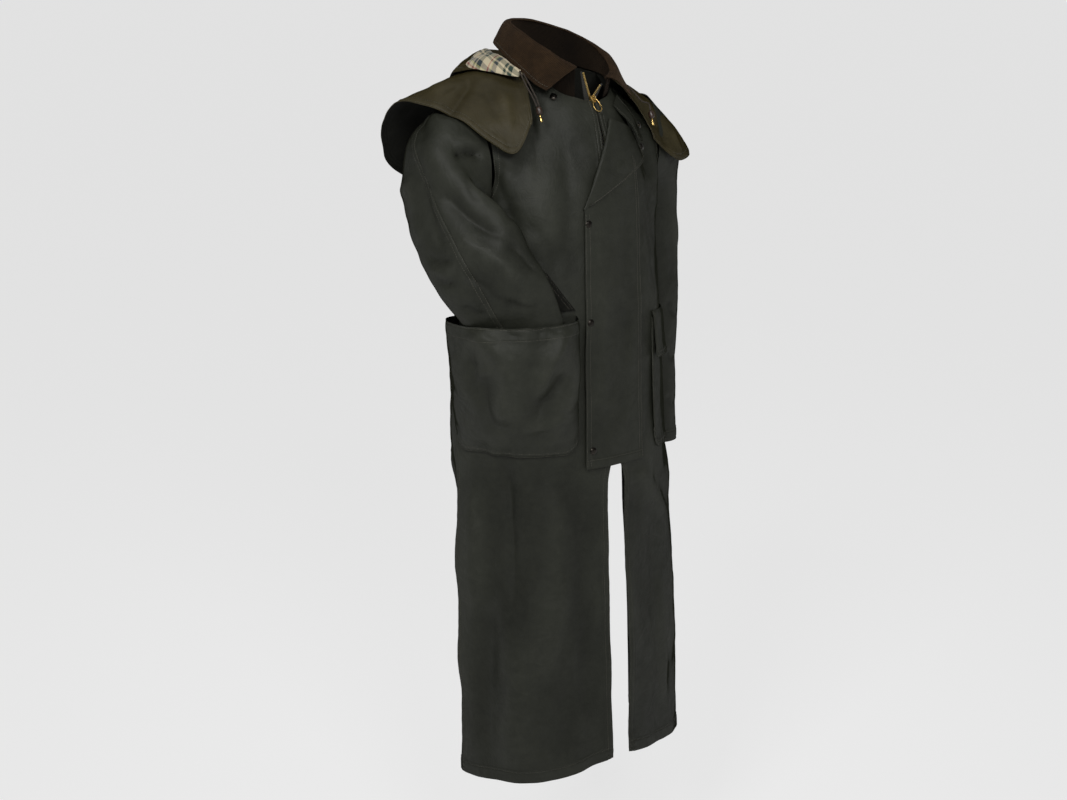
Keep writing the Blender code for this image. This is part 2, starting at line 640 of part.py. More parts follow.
def build_storm_flap(front, waxed):
    """The flap over the zip and its folded lapel, in one cloth."""
    columns, rows_low, rows_roll = FLAP_GRID
    points = []
    for sewn, free in storm_flap_rows(rows_low, rows_roll):
        for c in np.linspace(0.0, 1.0, columns + 1):
            x, z = sewn * (1 - c) + free * c
            points.append(front.point(x, z, FLAP_OUT))
    faces = grid_faces(rows_low + rows_roll + 1, columns + 1)
    across = np.array([ROLL_TOP[1] - ROLL_FOOT[1], ROLL_FOOT[0] - ROLL_TOP[0]])
    across = across / np.linalg.norm(across)
    start = len(points)
    for t in np.linspace(0.0, 1.0, rows_roll + 1):
        roll = ROLL_FOOT * (1 - t) + ROLL_TOP * t
        bend = roll - across * ROLL_RADIUS
        points.append(front.point(*bend, FLAP_OUT + ROLL_RADIUS))
        for share in LAPEL_SHARES:
            x, z = roll * (1 - share) + lapel_edge(t) * share
            points.append(front.point(x, z, FLAP_OUT + 2 * ROLL_RADIUS))
    wide = len(LAPEL_SHARES) + 1
    for j in range(rows_roll):
        hinge = (rows_low + j) * (columns + 1) + columns
        low = [hinge] + [start + j * wide + i for i in range(wide)]
        high = [hinge + columns + 1] + [start + (j + 1) * wide + i for i in range(wide)]
        for i in range(wide):
            faces.append((low[i], low[i + 1], high[i + 1], high[i]))
    return thicken("storm_flap", points, faces, FLAP_WALL, FRONT_INSIDE, waxed)


def build_throat_tab(front, waxed):
    """Strap with a rounded end, from under the far collar leaf to the lapel's corner."""
    grid = []
    length = np.linalg.norm(TAB_END - TAB_START)
    along = (TAB_END - TAB_START) / length
    across = np.array([-along[1], along[0]])
    for t in np.linspace(0.0, 1.0, TAB_ROWS):
        into_tip = max(0.0, 1.0 - (1.0 - t) * length / (TAB_WIDTH / 2))
        half = TAB_WIDTH / 2 * max(np.sqrt(1.0 - into_tip ** 2), TAB_TIP_SHARE)
        lift = TAB_OUT[0] + (TAB_OUT[1] - TAB_OUT[0]) * ease(t * TAB_LIFT_RATE)
        middle = TAB_START + along * length * t
        grid.append([front.point(*(middle + across * half * s), lift) for s in TAB_STRIPS])
    cloth("throat_tab", np.array(grid), waxed, FRONT_INSIDE)


def pocket_places(side, columns, rows):
    """Share across, share down and angle of a pocket's grid."""
    s = np.linspace(0.0, 1.0, columns + 1)[None, :]
    t = np.linspace(0.0, 1.0, rows + 1)[:, None]
    first, last = POCKET_ANGLES[side]
    return s, t, side * (first + (last - first) * s)


def pocket(side, columns, rows):
    """Grid of a patch pocket: sewn at its sides and foot, bagging out at its mouth."""
    s, t, angle = pocket_places(side, columns, rows)
    lean, fullness, fall = POCKET_BAG_SHAPE
    bag = POCKET_BULGE[side] * np.sin(pi * s ** lean) ** fullness * (1.0 - t ** fall)
    z = POCKET_TOP_Z[side] - POCKET_HEIGHT * t + POCKET_MOUTH_RISE * (1 - s) * (1 - t)
    return body(angle, z, WALL + LAYER_GAP + bag)


def pocket_flap_left(columns, rows):
    """Grid of the hanging flap: it stands off the pocket towards its foot."""
    s, t, angle = pocket_places(1, columns, rows)
    t = np.where(t > 0, np.maximum(t ** 2, POCKET_FLAP_HINGE / POCKET_FLAP_DROP), 0.0)
    stand = POCKET_FLAP_STAND[0] * (t > 0) + POCKET_FLAP_STAND[1] * t
    z = POCKET_TOP_Z[1] + POCKET_FLAP_HINGE + POCKET_MOUTH_RISE * (1 - s) - POCKET_FLAP_DROP * t
    return body(angle, z, WALL + LAYER_GAP + stand + 0 * s)


def pocket_flap_right(columns, rows):
    """Grid of the flap that the forearm has pushed up flat against the front."""
    s, t, angle = pocket_places(-1, columns, rows)
    shear = POCKET_FLAP_SHEAR * t * (1.0 - s)
    z = POCKET_TOP_Z[-1] + POCKET_FLAP_HINGE + POCKET_MOUTH_RISE * (1 - s) + POCKET_FLAP_UP * t
    return body(angle - shear, z, WALL + LAYER_GAP)


def build_pockets(waxed):
    """Patch pockets and their flaps."""
    for side, name in ((-1, "right"), (1, "left")):
        cloth(f"pocket_{name}", pocket(side, *POCKET_GRID), waxed)
    cloth("pocket_flap_left", pocket_flap_left(*POCKET_FLAP_GRID[1]), waxed)
    cloth("pocket_flap_right", pocket_flap_right(*POCKET_FLAP_GRID[-1]), waxed)


def zip_half(side):
    """Grid of one zip tape: behind the front's edge, then free up to the collar's end."""
    rows = []
    for z in np.linspace(ZIP_FOOT_Z, ZIP_SPLIT_Z, ZIP_ROWS[0]):
        rows.append([FRONT.point(side * x, z, -ZIP_BEHIND) for x in (ZIP_HALF_CHAIN, ZIP_TAPE)])
    low = np.array(rows[-1])
    high = np.array(ZIP_ENDS[side]) + np.array([[-side, 0.0, 0.0], [side, 0.0, 0.0]]) * ZIP_FREE_HALF
    for t in np.linspace(0.0, 1.0, ZIP_ROWS[1])[1:]:
        rows.append(low * (1 - t) + high * t)
    return np.array(rows)


def turned(name, profile, place, axis, coat, sides):
    """Solid turned from (radius, height) steps round an axis that starts at a place."""
    axis = np.asarray(axis, float) / np.linalg.norm(axis)
    across = np.cross(axis, (0.0, 0.0, 1.0) if abs(axis[2]) < 0.9 else (1.0, 0.0, 0.0))
    across = across / np.linalg.norm(across)
    third = np.cross(axis, across)
    points = []
    for radius, height in profile:
        for turn in np.linspace(0.0, 2 * pi, sides, endpoint=False):
            points.append(np.asarray(place) + axis * height + radius * (across * cos(turn) + third * sin(turn)))
    faces = [tuple(range(sides)), tuple(range(len(points) - sides, len(points)))]
    for r in range(len(profile) - 1):
        for c in range(sides):
            n = (c + 1) % sides
            faces.append((r * sides + c, r * sides + n, (r + 1) * sides + n, (r + 1) * sides + c))
    return add_mesh(name, points, faces, coat)


def rod(name, centre_line, radius, coat, sides, closed):
    """Round rod along a line of points."""
    line = np.asarray(centre_line, float)
    ahead = np.roll(line, -1, axis=0) - np.roll(line, 1, axis=0) if closed else np.gradient(line, axis=0)
    points = []
    for place, tangent in zip(line, ahead):
        tangent = tangent / np.linalg.norm(tangent)
        first = np.cross(tangent, ROD_SIDE[closed])
        first = first / np.linalg.norm(first)
        second = np.cross(tangent, first)
        for turn in np.linspace(0.0, 2 * pi, sides, endpoint=False):
            points.append(place + radius * (first * cos(turn) + second * sin(turn)))
    rings = len(line)
    faces = []
    for r in range(rings if closed else rings - 1):
        after = (r + 1) % rings
        for c in range(sides):
            n = (c + 1) % sides
            faces.append((r * sides + c, r * sides + n, after * sides + n, after * sides + c))
    if not closed:
        faces += [tuple(range(sides)), tuple(range((rings - 1) * sides, rings * sides))]
    return add_mesh(name, points, faces, coat)


def slider_frame():
    """Middle of the slider's outer face, its outward direction and the way down the cloth."""
    foot = FRONT.point(0.0, SLIDER_Z - 2 * SLIDER_REACH)
    head = FRONT.point(0.0, SLIDER_Z - SLIDER_REACH)
    down = (foot - head) / np.linalg.norm(foot - head)
    out = np.array([0.0, down[2], -down[1]])
    place = head - down * SLIDER_REACH + out * (WALL + LAYER_GAP + SLIDER_SIZE[1])
    return place, out, down


def build_zip(tape, brass):
    """Zip tapes, slider, its bail and the ring pull that swings on the bail."""
    for side, name in ((-1, "right"), (1, "left")):
        cloth(f"zip_{name}", zip_half(side), tape, FRONT_INSIDE, ZIP_WALL)
    place, out, down = slider_frame()
    wide, thick, tall = SLIDER_SIZE
    outline = [(-0.5, -0.5), (0.5, -0.5), (SLIDER_TAPER, 0.5), (-SLIDER_TAPER, 0.5)]
    flat = [place + np.array([1.0, 0.0, 0.0]) * wide * x + down * tall * y for x, y in outline]
    faces = [(0, 1, 2, 3), (4, 5, 6, 7)] + [(i, (i + 1) % 4, 4 + (i + 1) % 4, 4 + i) for i in range(4)]
    add_mesh("zip_slider", flat + [p - out * thick for p in flat], faces, brass)
    bend = np.linspace(0.0, pi, WIRE_SIDES + 1)
    arch = [place + out * (BAIL_FOOT + BAIL_RISE * sin(t)) - down * BAIL_SPAN / 2 * cos(t) for t in bend]
    rod("zip_bail", arch, BAIL_ROD / 2, brass, WIRE_SIDES, False)
    pivot = place + out * PULL_PIVOT[0] + down * PULL_PIVOT[1]
    ring = []
    for t in np.linspace(0.0, 2 * pi, 2 * ROUND_SIDES, endpoint=False):
        drop = (1 - cos(t)) / 2
        half = PULL_HALF_WIDTH * (PULL_NARROW + (1 - PULL_NARROW) * ease(drop))
        ring.append((half * sin(t), PULL_LENGTH * drop))
    line = [np.array([x, 0.0, 0.0]) + down * d for x, d in ring]
    pull = rod("zip_pull", line, PULL_WIRE, brass, WIRE_SIDES, True)
    pull.location = tuple(pivot)


def build_snaps(metal):
    """Press studs, each a low dome with a rim."""
    profile = [(r * SNAP_RADIUS, h * SNAP_HEIGHT) for r, h in SNAP_PROFILE]
    for name, (x, z, out) in SNAPS.items():
        place = FRONT.point(x, z, out)
        turned(f"snap_{name}", profile, place, FRONT.point(x, z, out + SNAP_RADIUS) - place, metal, ROUND_SIDES)


def smooth_route(route, count):
    """Evenly spaced points on a smooth curve through a route."""
    route = np.asarray(route, float)
    keys = np.concatenate([[0.0], np.cumsum(np.linalg.norm(np.diff(route, axis=0), axis=1))])
    return spline(keys, route, np.linspace(0.0, keys[-1], count))


def build_cords(cord, wood, metal):
    """Hood drawcords with their stoppers and metal tips."""
    for name, route in CORDS.items():
        curve = bpy.data.curves.new(f"drawcord_{name}", "CURVE")
        curve.dimensions = "3D"
        curve.bevel_depth = CORD_RADIUS
        curve.bevel_resolution = 2
        curve.use_fill_caps = True
        line = curve.splines.new("POLY")
        points = smooth_route(route, CORD_POINTS)
        line.points.add(len(points) - 1)
        for spot, place in zip(line.points, points):
            spot.co = (*place, 1.0)
        curve.materials.append(cord)
        thing = bpy.data.objects.new(f"drawcord_{name}", curve)
        bpy.context.scene.collection.objects.link(thing)
    for name, (place, axis) in STOPPERS.items():
        axis = np.asarray(axis) / np.linalg.norm(axis)
        steps = [(r * STOPPER_RADIUS, h * STOPPER_LENGTH) for r, h in STOPPER_PROFILE]
        turned(f"cord_stopper_{name}", steps, place, axis, wood, ROUND_SIDES)
        steps = [(r * TIP_RADIUS, h * TIP_LENGTH) for r, h in TIP_PROFILE]
        end = np.asarray(place) + axis * (STOPPER_LENGTH + SEAM_GAP)
        turned(f"cord_tip_{name}", steps, end, axis, metal, ROUND_SIDES)


def main():
    """Build every piece."""
    waxed = finish("waxed_cotton", (0.030, 0.033, 0.027), 0.55)
    corduroy = finish("brown_corduroy", (0.030, 0.015, 0.008), 0.9)
    check = finish("checked_lining", (0.03, 0.05, 0.04), 0.9)
    brass = finish("brass", (0.52, 0.36, 0.12), 0.3, 1.0)
    dark_metal = finish("dark_bronze", (0.03, 0.028, 0.025), 0.35, 0.9)
    cord = finish("brown_cord", (0.02, 0.015, 0.01), 0.9)
    build_panels(waxed)
    build_sleeves(waxed)
    build_neck(waxed, corduroy, check)
    build_storm_flap(FRONT, waxed)
    build_throat_tab(FRONT, waxed)
    build_pockets(waxed)
    build_zip(finish("zip_tape", (0.02, 0.02, 0.018), 0.9), brass)
    build_snaps(dark_metal)
    build_cords(cord, finish("stopper_leather", (0.02, 0.012, 0.008), 0.5), brass)


for old_thing in list(bpy.data.objects):
    bpy.data.objects.remove(old_thing)
FRONT = FrontCloth()
main()
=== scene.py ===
"""Looks of the long waxed riding coat: cloth shells with their creases, stitching, metalwork and cords.

Metres, +Z up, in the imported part's own frame. The origin is the middle of the neck, the coat's
front faces -Y and its left is +X. Angles round the body start at the front middle and grow
towards its left.
"""
from math import cos, pi, radians, sin

import bpy
import numpy as np
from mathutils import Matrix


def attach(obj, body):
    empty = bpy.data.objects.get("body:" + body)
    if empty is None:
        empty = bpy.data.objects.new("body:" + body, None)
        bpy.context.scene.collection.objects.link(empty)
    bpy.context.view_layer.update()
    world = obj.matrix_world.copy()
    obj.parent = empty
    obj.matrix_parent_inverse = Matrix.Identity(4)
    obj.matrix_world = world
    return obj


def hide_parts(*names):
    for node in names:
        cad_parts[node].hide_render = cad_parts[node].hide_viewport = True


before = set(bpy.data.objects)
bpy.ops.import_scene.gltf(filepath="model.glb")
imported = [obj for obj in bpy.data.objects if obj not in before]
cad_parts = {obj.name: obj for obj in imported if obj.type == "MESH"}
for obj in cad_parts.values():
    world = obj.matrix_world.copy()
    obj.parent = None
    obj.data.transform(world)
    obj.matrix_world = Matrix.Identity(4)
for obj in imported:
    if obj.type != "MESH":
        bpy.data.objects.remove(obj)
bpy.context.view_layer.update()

# Cloth
WALL = 0.002
COLLAR_WALL = 0.0026
SEAM_LAP = 0.006
SIDE_SEAM_RADIUS = 0.203
LAYER_GAP = 0.0012
SHARP_ANGLE = radians(50.0)

# Points inside the coat that each wall faces away from
BODY_INSIDE = (0.0, 0.0, -0.4)
CAPE_INSIDE = (0.0, 0.0, -0.3)
COLLAR_INSIDE = (0.0, -0.01, 0.0)
HOOD_INSIDE = (0.0, 0.12, -0.1)
FRONT_INSIDE = (0.0, 0.3, -0.4)

# Body: hem to underarm
ROUND = 0.92
SIDE_SEAM = radians(98.0)
UNDERARM_Z = -0.225
HEM_Z = -1.232
# Hem rows: angle from the front in degrees, z
HEM = np.array([
    (0.0, -1.192), (14.0, -1.202), (32.0, -1.212), (60.0, -1.217), (95.0, -1.230), (180.0, -1.236),
])
ZIP_HALF_GAP = 0.0042
SLIT_TOP_Z = -0.62
SLIT_HALF = 0.019
SLIT_RUN = 0.07
VENT_TOP_Z = -0.47
BACK_LAP = {-1: 0.0, 1: radians(2.2)}
VENT_RUN = 0.27
VENT_CURVE = 0.7
VENT_ANGLE = {-1: radians(113.0), 1: radians(110.0)}
# Body rows: z, half width, front depth, back depth, centre y
BODY = np.array([
    (-1.30, 0.220, 0.163, 0.158, -0.028),
    (-1.05, 0.216, 0.160, 0.154, -0.020),
    (-0.85, 0.211, 0.157, 0.152, -0.012),
    (-0.66, 0.207, 0.155, 0.147, -0.006),
    (-0.50, 0.203, 0.152, 0.142, 0.000),
    (-0.40, 0.198, 0.148, 0.138, 0.000),
    (-0.30, 0.190, 0.142, 0.132, 0.000),
    (-0.20, 0.185, 0.134, 0.124, 0.000),
])
# Fold rows: angle and half angle in degrees, top z, foot z, depth
FOLDS = (
    (-74.0, 9.0, -0.62, -1.12, -0.010),
    (-52.0, 13.0, -0.60, -1.30, 0.008),
    (-14.0, 7.0, -0.66, -1.30, -0.006),
    (30.0, 10.0, -0.62, -1.30, -0.008),
    (58.0, 12.0, -0.60, -1.30, 0.009),
    (84.0, 8.0, -0.70, -1.30, -0.010),
    (106.0, 7.0, -0.80, -1.30, 0.008),
    (-110.0, 8.0, -0.60, -1.30, -0.016),
    (140.0, 10.0, -0.24, -0.52, -0.006),
    (-140.0, 10.0, -0.24, -0.52, -0.006),
)
FOLD_FADE = 0.16

# Neck, shoulders and armholes
NECK_HALF_WIDTH = 0.084
NECK_FRONT = 0.090
NECK_BACK = 0.072
# Neck rows: angle from the front in degrees, z
NECK_LINE = np.array([(0.0, -0.042), (35.0, -0.026), (70.0, 0.002), (110.0, 0.014), (180.0, 0.020)])
SHOULDER_X = 0.200
SHOULDER_Z = -0.040
ARMHOLE_HALF_DEPTH = 0.074
ARMHOLE_PINCH = 0.014
NECK_SHARE = 0.42
SHOULDER_LEAN = (0.55, 0.65)
ARMHOLE_PULL_FROM = 0.35
# Share of the lower rows over which the climb is taken
CLIMB_STEP = 0.01

# Sleeves: rings from below the armhole to the cuff
ARMHOLE_CLEAR = 0.0080
# Sleeve rows: centre x, y, z, half size outward and forward, yaw, rise and lift in degrees
SLEEVES = {
    -1: np.array([
        (-0.236, 0.014, -0.156, 0.084, 0.072, 4.0, 60.0, 0.0),
        (-0.246, -0.027, -0.212, 0.054, 0.086, 22.0, 28.0, 8.0),
        (-0.241, -0.068, -0.260, 0.048, 0.088, 38.0, 10.0, 18.0),
        (-0.231, -0.098, -0.305, 0.043, 0.082, 46.0, 2.0, 26.0),
        (-0.207, -0.113, -0.345, 0.034, 0.080, 46.0, -2.0, 28.0),
        (-0.178, -0.119, -0.392, 0.025, 0.074, 43.0, -4.0, 28.0),
        (-0.163, -0.129, -0.440, 0.020, 0.066, 42.0, -4.0, 26.0),
        (-0.156, -0.136, -0.480, 0.018, 0.058, 42.0, -4.0, 24.0),
    ]),
    1: np.array([
        (0.233, 0.028, -0.156, 0.072, 0.069, 0.0, 60.0, 0.0),
        (0.245, 0.046, -0.214, 0.050, 0.066, 0.0, 24.0, 0.0),
        (0.253, 0.056, -0.285, 0.049, 0.066, 0.0, 6.0, 0.0),
        (0.264, 0.060, -0.390, 0.048, 0.066, 0.0, 0.0, 0.0),
        (0.268, 0.060, -0.500, 0.047, 0.064, 0.0, 0.0, 0.0),
        (0.270, 0.058, -0.600, 0.045, 0.061, 0.0, 0.0, 0.0),
        (0.270, 0.054, -0.695, 0.043, 0.058, 0.0, 0.0, 0.0),
    ]),
}
SLEEVE_LAP = radians(6.0)
# Inner seam, where the front piece starts and the back piece ends
SLEEVE_SEAMS = (radians(20.0), radians(380.0))
# Row of the table inside the sleeve
SLEEVE_MIDDLE = 3
# Outer seam rows: share down the sleeve, turn round it in degrees
SLEEVE_SEAM_LINE = {
    -1: np.array([(0.0, 198.0), (0.10, 192.0), (0.20, 183.0), (0.42, 184.0), (0.60, 190.0), (0.75, 194.0),
                  (1.0, 198.0)]),
    1: np.array([(0.0, 198.0), (1.0, 198.0)]),
}

# Cape: a rib for each row, from the right front edge round the back to the left front edge
CAPE_OUT = 0.010
CAPE_LIFT = 0.002
CAPE_FLARE = 0.35
# The far front edge lies back: share round the cape where that starts, shift across and back
CAPE_LAY = (0.86, 0.006, 0.019)
# Cape rows: angle at the neck in degrees, hem x, y, z, crown height
CAPE = np.array([
    (-76.0, -0.128, -0.092, -0.066, 0.026),
    (-83.0, -0.166, -0.098, -0.114, 0.040),
    (-89.0, -0.199, -0.072, -0.098, 0.044),
    (-95.0, -0.228, -0.030, -0.064, 0.036),
    (-102.0, -0.258, 0.012, -0.044, 0.026),
    (-110.0, -0.284, 0.067, -0.038, 0.020),
    (-120.0, -0.279, 0.118, -0.072, 0.040),
    (-131.0, -0.264, 0.150, -0.112, 0.062),
    (-142.0, -0.226, 0.172, -0.160, 0.088),
    (-160.0, -0.124, 0.184, -0.200, 0.106),
    (-180.0, 0.000, 0.188, -0.210, 0.110),
    (-200.0, 0.124, 0.184, -0.204, 0.106),
    (-218.0, 0.222, 0.172, -0.192, 0.096),
    (-234.0, 0.286, 0.128, -0.168, 0.076),
    (-248.0, 0.312, 0.064, -0.150, 0.064),
    (-260.0, 0.302, 0.000, -0.136, 0.059),
    (-270.0, 0.264, -0.048, -0.142, 0.056),
    (-277.0, 0.214, -0.078, -0.136, 0.050),
    (-284.0, 0.156, -0.086, -0.092, 0.030),
])

# Collar: rows run from the right front end round the back to the left front end
COLLAR_BASE_LIFT = 0.003
COLLAR_FOLD_GAP = 0.0042
COLLAR_IN = -0.004
COLLAR_ROLL = (0.012, 0.006)
# Collar rows: angle in degrees, fold x, y, z, outer edge x, y, z
COLLAR = np.array([
    (-22.0, -0.036, -0.089, 0.016, -0.094, -0.086, -0.018),
    (-40.0, -0.056, -0.074, 0.030, -0.102, -0.062, -0.006),
    (-70.0, -0.077, -0.032, 0.058, -0.104, -0.020, 0.018),
    (-105.0, -0.079, 0.016, 0.080, -0.099, 0.030, 0.042),
    (-140.0, -0.058, 0.056, 0.093, -0.076, 0.076, 0.058),
    (-180.0, 0.000, 0.070, 0.090, 0.000, 0.096, 0.054),
    (-220.0, 0.050, 0.058, 0.080, 0.070, 0.077, 0.046),
    (-255.0, 0.074, 0.016, 0.064, 0.098, 0.030, 0.030),
    (-290.0, 0.076, -0.030, 0.040, 0.100, -0.022, 0.014),
    (-320.0, 0.060, -0.068, 0.016, 0.101, -0.060, -0.010),
    (-338.0, 0.032, -0.088, 0.000, 0.086, -0.088, -0.026),
])

# Hood, folded back: a cross-section for each row, in distance from the neck's axis and height
# Hood rows: angle in degrees, then distance and height of its inner edge, top, outer roll and tip
HOOD = np.array([
    (-70.0, 0.117, 0.008, 0.119, 0.014, 0.123, 0.012, 0.127, 0.004),
    (-95.0, 0.113, 0.024, 0.122, 0.032, 0.142, 0.023, 0.154, 0.011),
    (-124.0, 0.112, 0.030, 0.128, 0.041, 0.166, 0.021, 0.182, 0.003),
    (-150.0, 0.114, 0.028, 0.136, 0.039, 0.175, 0.012, 0.187, -0.032),
    (-180.0, 0.116, 0.026, 0.136, 0.034, 0.169, 0.002, 0.182, -0.066),
    (-210.0, 0.114, 0.024, 0.132, 0.031, 0.163, 0.006, 0.177, -0.038),
    (-234.0, 0.112, 0.024, 0.128, 0.030, 0.154, 0.024, 0.168, 0.013),
    (-260.0, 0.113, 0.012, 0.120, 0.017, 0.132, 0.015, 0.140, 0.008),
    (-284.0, 0.113, 0.003, 0.115, 0.007, 0.118, 0.006, 0.122, 0.001),
])
HOOD_LINING_SHARE = 0.30
# Share of its length where the lining starts to narrow, and the width left at its far end
LINING_NARROWS = (0.45, 0.10)
LINING_WALL = 0.0012
LINING_OUT = 0.0039

# Storm flap, in places on the front cloth: x across, z up
FLAP_OUT = 0.0050
FLAP_FOOT_Z = -0.655
FLAP_FREE_X = (-0.064, -0.053)
FLAP_SEWN_X = (0.062, 0.070)
ROLL_FOOT = np.array([-0.053, -0.212])
ROLL_TOP = np.array([0.020, -0.070])
FLAP_TOP_SEWN = np.array([0.062, -0.078])
LAPEL_POINT = np.array([0.116, -0.126])
LAPEL_TOP = np.array([0.078, -0.084])
LAPEL_FOOT = np.array([-0.044, -0.206])
LAPEL_TURN = 0.70
ROLL_RADIUS = 0.0036
FLAP_WALL = 0.0018

# Throat tab, in places on the front cloth
TAB_START = np.array([0.054, -0.037])
TAB_END = np.array([0.095, -0.102])
TAB_WIDTH = 0.034
TAB_OUT = (0.0040, 0.0165)
TAB_TIP_SHARE = 0.3
TAB_LIFT_RATE = 1.6
TAB_COLUMNS = 17

# Patch pockets and their flaps
POCKET_TOP_Z = {-1: -0.396, 1: -0.420}
POCKET_HEIGHT = 0.229
POCKET_WIDTH = 0.26
POCKET_CORNER = 0.026
POCKET_ANGLES = {-1: (radians(20.5), radians(95.0)), 1: (radians(28.0), radians(95.0))}
POCKET_BULGE = {-1: 0.075, 1: 0.001}
POCKET_LAY = {-1: 0.0012, 1: 0.0002}
POCKET_MOUTH_RISE = 0.008
POCKET_BAG_SHAPE = (0.86, 0.42, 2.4)
POCKET_FLAP_DROP = 0.082
POCKET_FLAP_HINGE = 0.010
POCKET_FLAP_STAND = (0.0024, 0.0060)
POCKET_FLAP_UP = 0.066
POCKET_FLAP_STAND_UP = 0.008
POCKET_FLAP_SHEAR = radians(16.0)

# Zip
ZIP_TAPE = 0.013
ZIP_WALL = 0.0014
ZIP_FOOT_Z = -0.640
ZIP_HALF_CHAIN = 0.0008
ZIP_BEHIND = 0.0052
ZIP_SPLIT_Z = -0.034
ZIP_FREE_HALF = 0.0022
ZIP_ENDS = {-1: (-0.0255, -0.0920, 0.012), 1: (0.0190, -0.0910, -0.008)}
ZIP_COLUMNS = 7

# Press studs
SNAPS = ("flap_top", "flap_middle", "flap_foot", "lapel", "throat_tab", "neck")

# Hood drawcords
CORD_RADIUS = 0.0013
CORD_POINTS = 24
CORD_ROUND = 4
CORDS = {
    "right_near": [(-0.1205, -0.048, 0.014), (-0.1240, -0.060, 0.004), (-0.1250, -0.073, -0.010),
                   (-0.1235, -0.086, -0.026), (-0.1225, -0.0965, -0.041)],
    "right_far": [(-0.1160, -0.052, 0.010), (-0.1180, -0.066, -0.002), (-0.1180, -0.079, -0.016),
                  (-0.1178, -0.090, -0.030), (-0.1180, -0.0975, -0.041)],
    "left": [(0.1040, -0.064, -0.018), (0.1120, -0.074, -0.031), (0.1190, -0.086, -0.044),
             (0.1255, -0.092, -0.046), (0.1245, -0.099, -0.058)],
}

# Camera of the photograph, in its pixels and in the part's frame
IMAGE = (1067, 800)
FOCAL_PX = 1660.0
SENSOR_MM = 36.0
CAMERA_TURN = radians(-38.0)
CAMERA_PITCH = radians(14.0)
CAMERA_PLACE = np.array([-1.819, -2.259, 0.150])

# The coat's left shoulder sits lower: distance across, drop
SETTLE = np.array([(0.0, 0.0), (0.06, 0.004), (0.15, 0.018), (0.20, 0.019), (0.25, 0.010), (0.31, 0.0)])
SETTLE_Z = (-0.30, 0.18)
# The left side lies in at pocket height: distance, first place across and run, middle z and half height
TUCK = (0.007, 0.10, 0.07, -0.50, 0.16)

# Fine mesh of the cloth shells
SHELL = 0.0014
CELL = 0.0065
FINE_CELL = 0.0012
COLLAR_ROLL_CELLS = 8
FLAP_ROLL_CELLS = 8
TINY = 1e-12
# Table of the front cloth: x and z ranges with their counts, cells of the panels, step of a slope
FRONT_X = (-0.20, 0.20, 161)
FRONT_Z = (-0.72, 0.03, 301)
FRONT_CELLS = 31
FRONT_STEP = 0.004

# Sewn edges: rise of the doubled cloth, groove of a stitch line and its puckers
HEM_RISE = 0.0012
HEM_STEP = 0.0022
GROOVE = 0.0009
GROOVE_HALF = 0.0014
PUCKER = 0.0005
PUCKER_LENGTH = 0.013
# Drift of the puckers: turn, rate; their reach in widths of the edge
PUCKER_DRIFT = (3.0, 37.0)
PUCKER_REACH = 0.8
STITCH_PITCH = 0.0042
STITCH_LENGTH = 0.0030
STITCH_WIDE = 0.0008
STITCH_HIGH = 0.0004
STITCH_SUNK = -0.5
# Rings of a stitch: share along it, share of its full size
STITCH_RINGS = ((0.0, 0.4), (0.5, 1.0), (1.0, 0.4))

# Uneven lie of the cloth: wave length, depth
LIE = ((0.16, 0.0018), (0.07, 0.0010), (0.03, 0.00042))
LIE_WAVES = 14
LIE_SEED = 11
LIE_WAY = (1.0, 1.0, 0.75)
LIE_LENGTHS = (0.7, 1.5)

# Zip teeth
TOOTH_PITCH = 0.0026
TOOTH_SIZE = (0.0034, 0.0019, 0.0015)
# First place and end gap along the tape, step of a slope, distance out
TOOTH_FIRST = 0.004
TOOTH_LAST = 0.002
TOOTH_STEP = 0.001
TOOTH_OUT = 0.0006
TOOTH_CORNERS = ((-0.5, -0.5), (0.5, -0.5), (0.5, 0.5), (-0.5, 0.5))
# Layers of a tooth: level, share of its full size
TOOTH_LAYERS = ((-0.5, 0.7), (-0.3, 1.0), (0.3, 1.0), (0.5, 0.7))

# Stage
FLOOR_Z = -1.52
FLOOR_HALF = 300.0

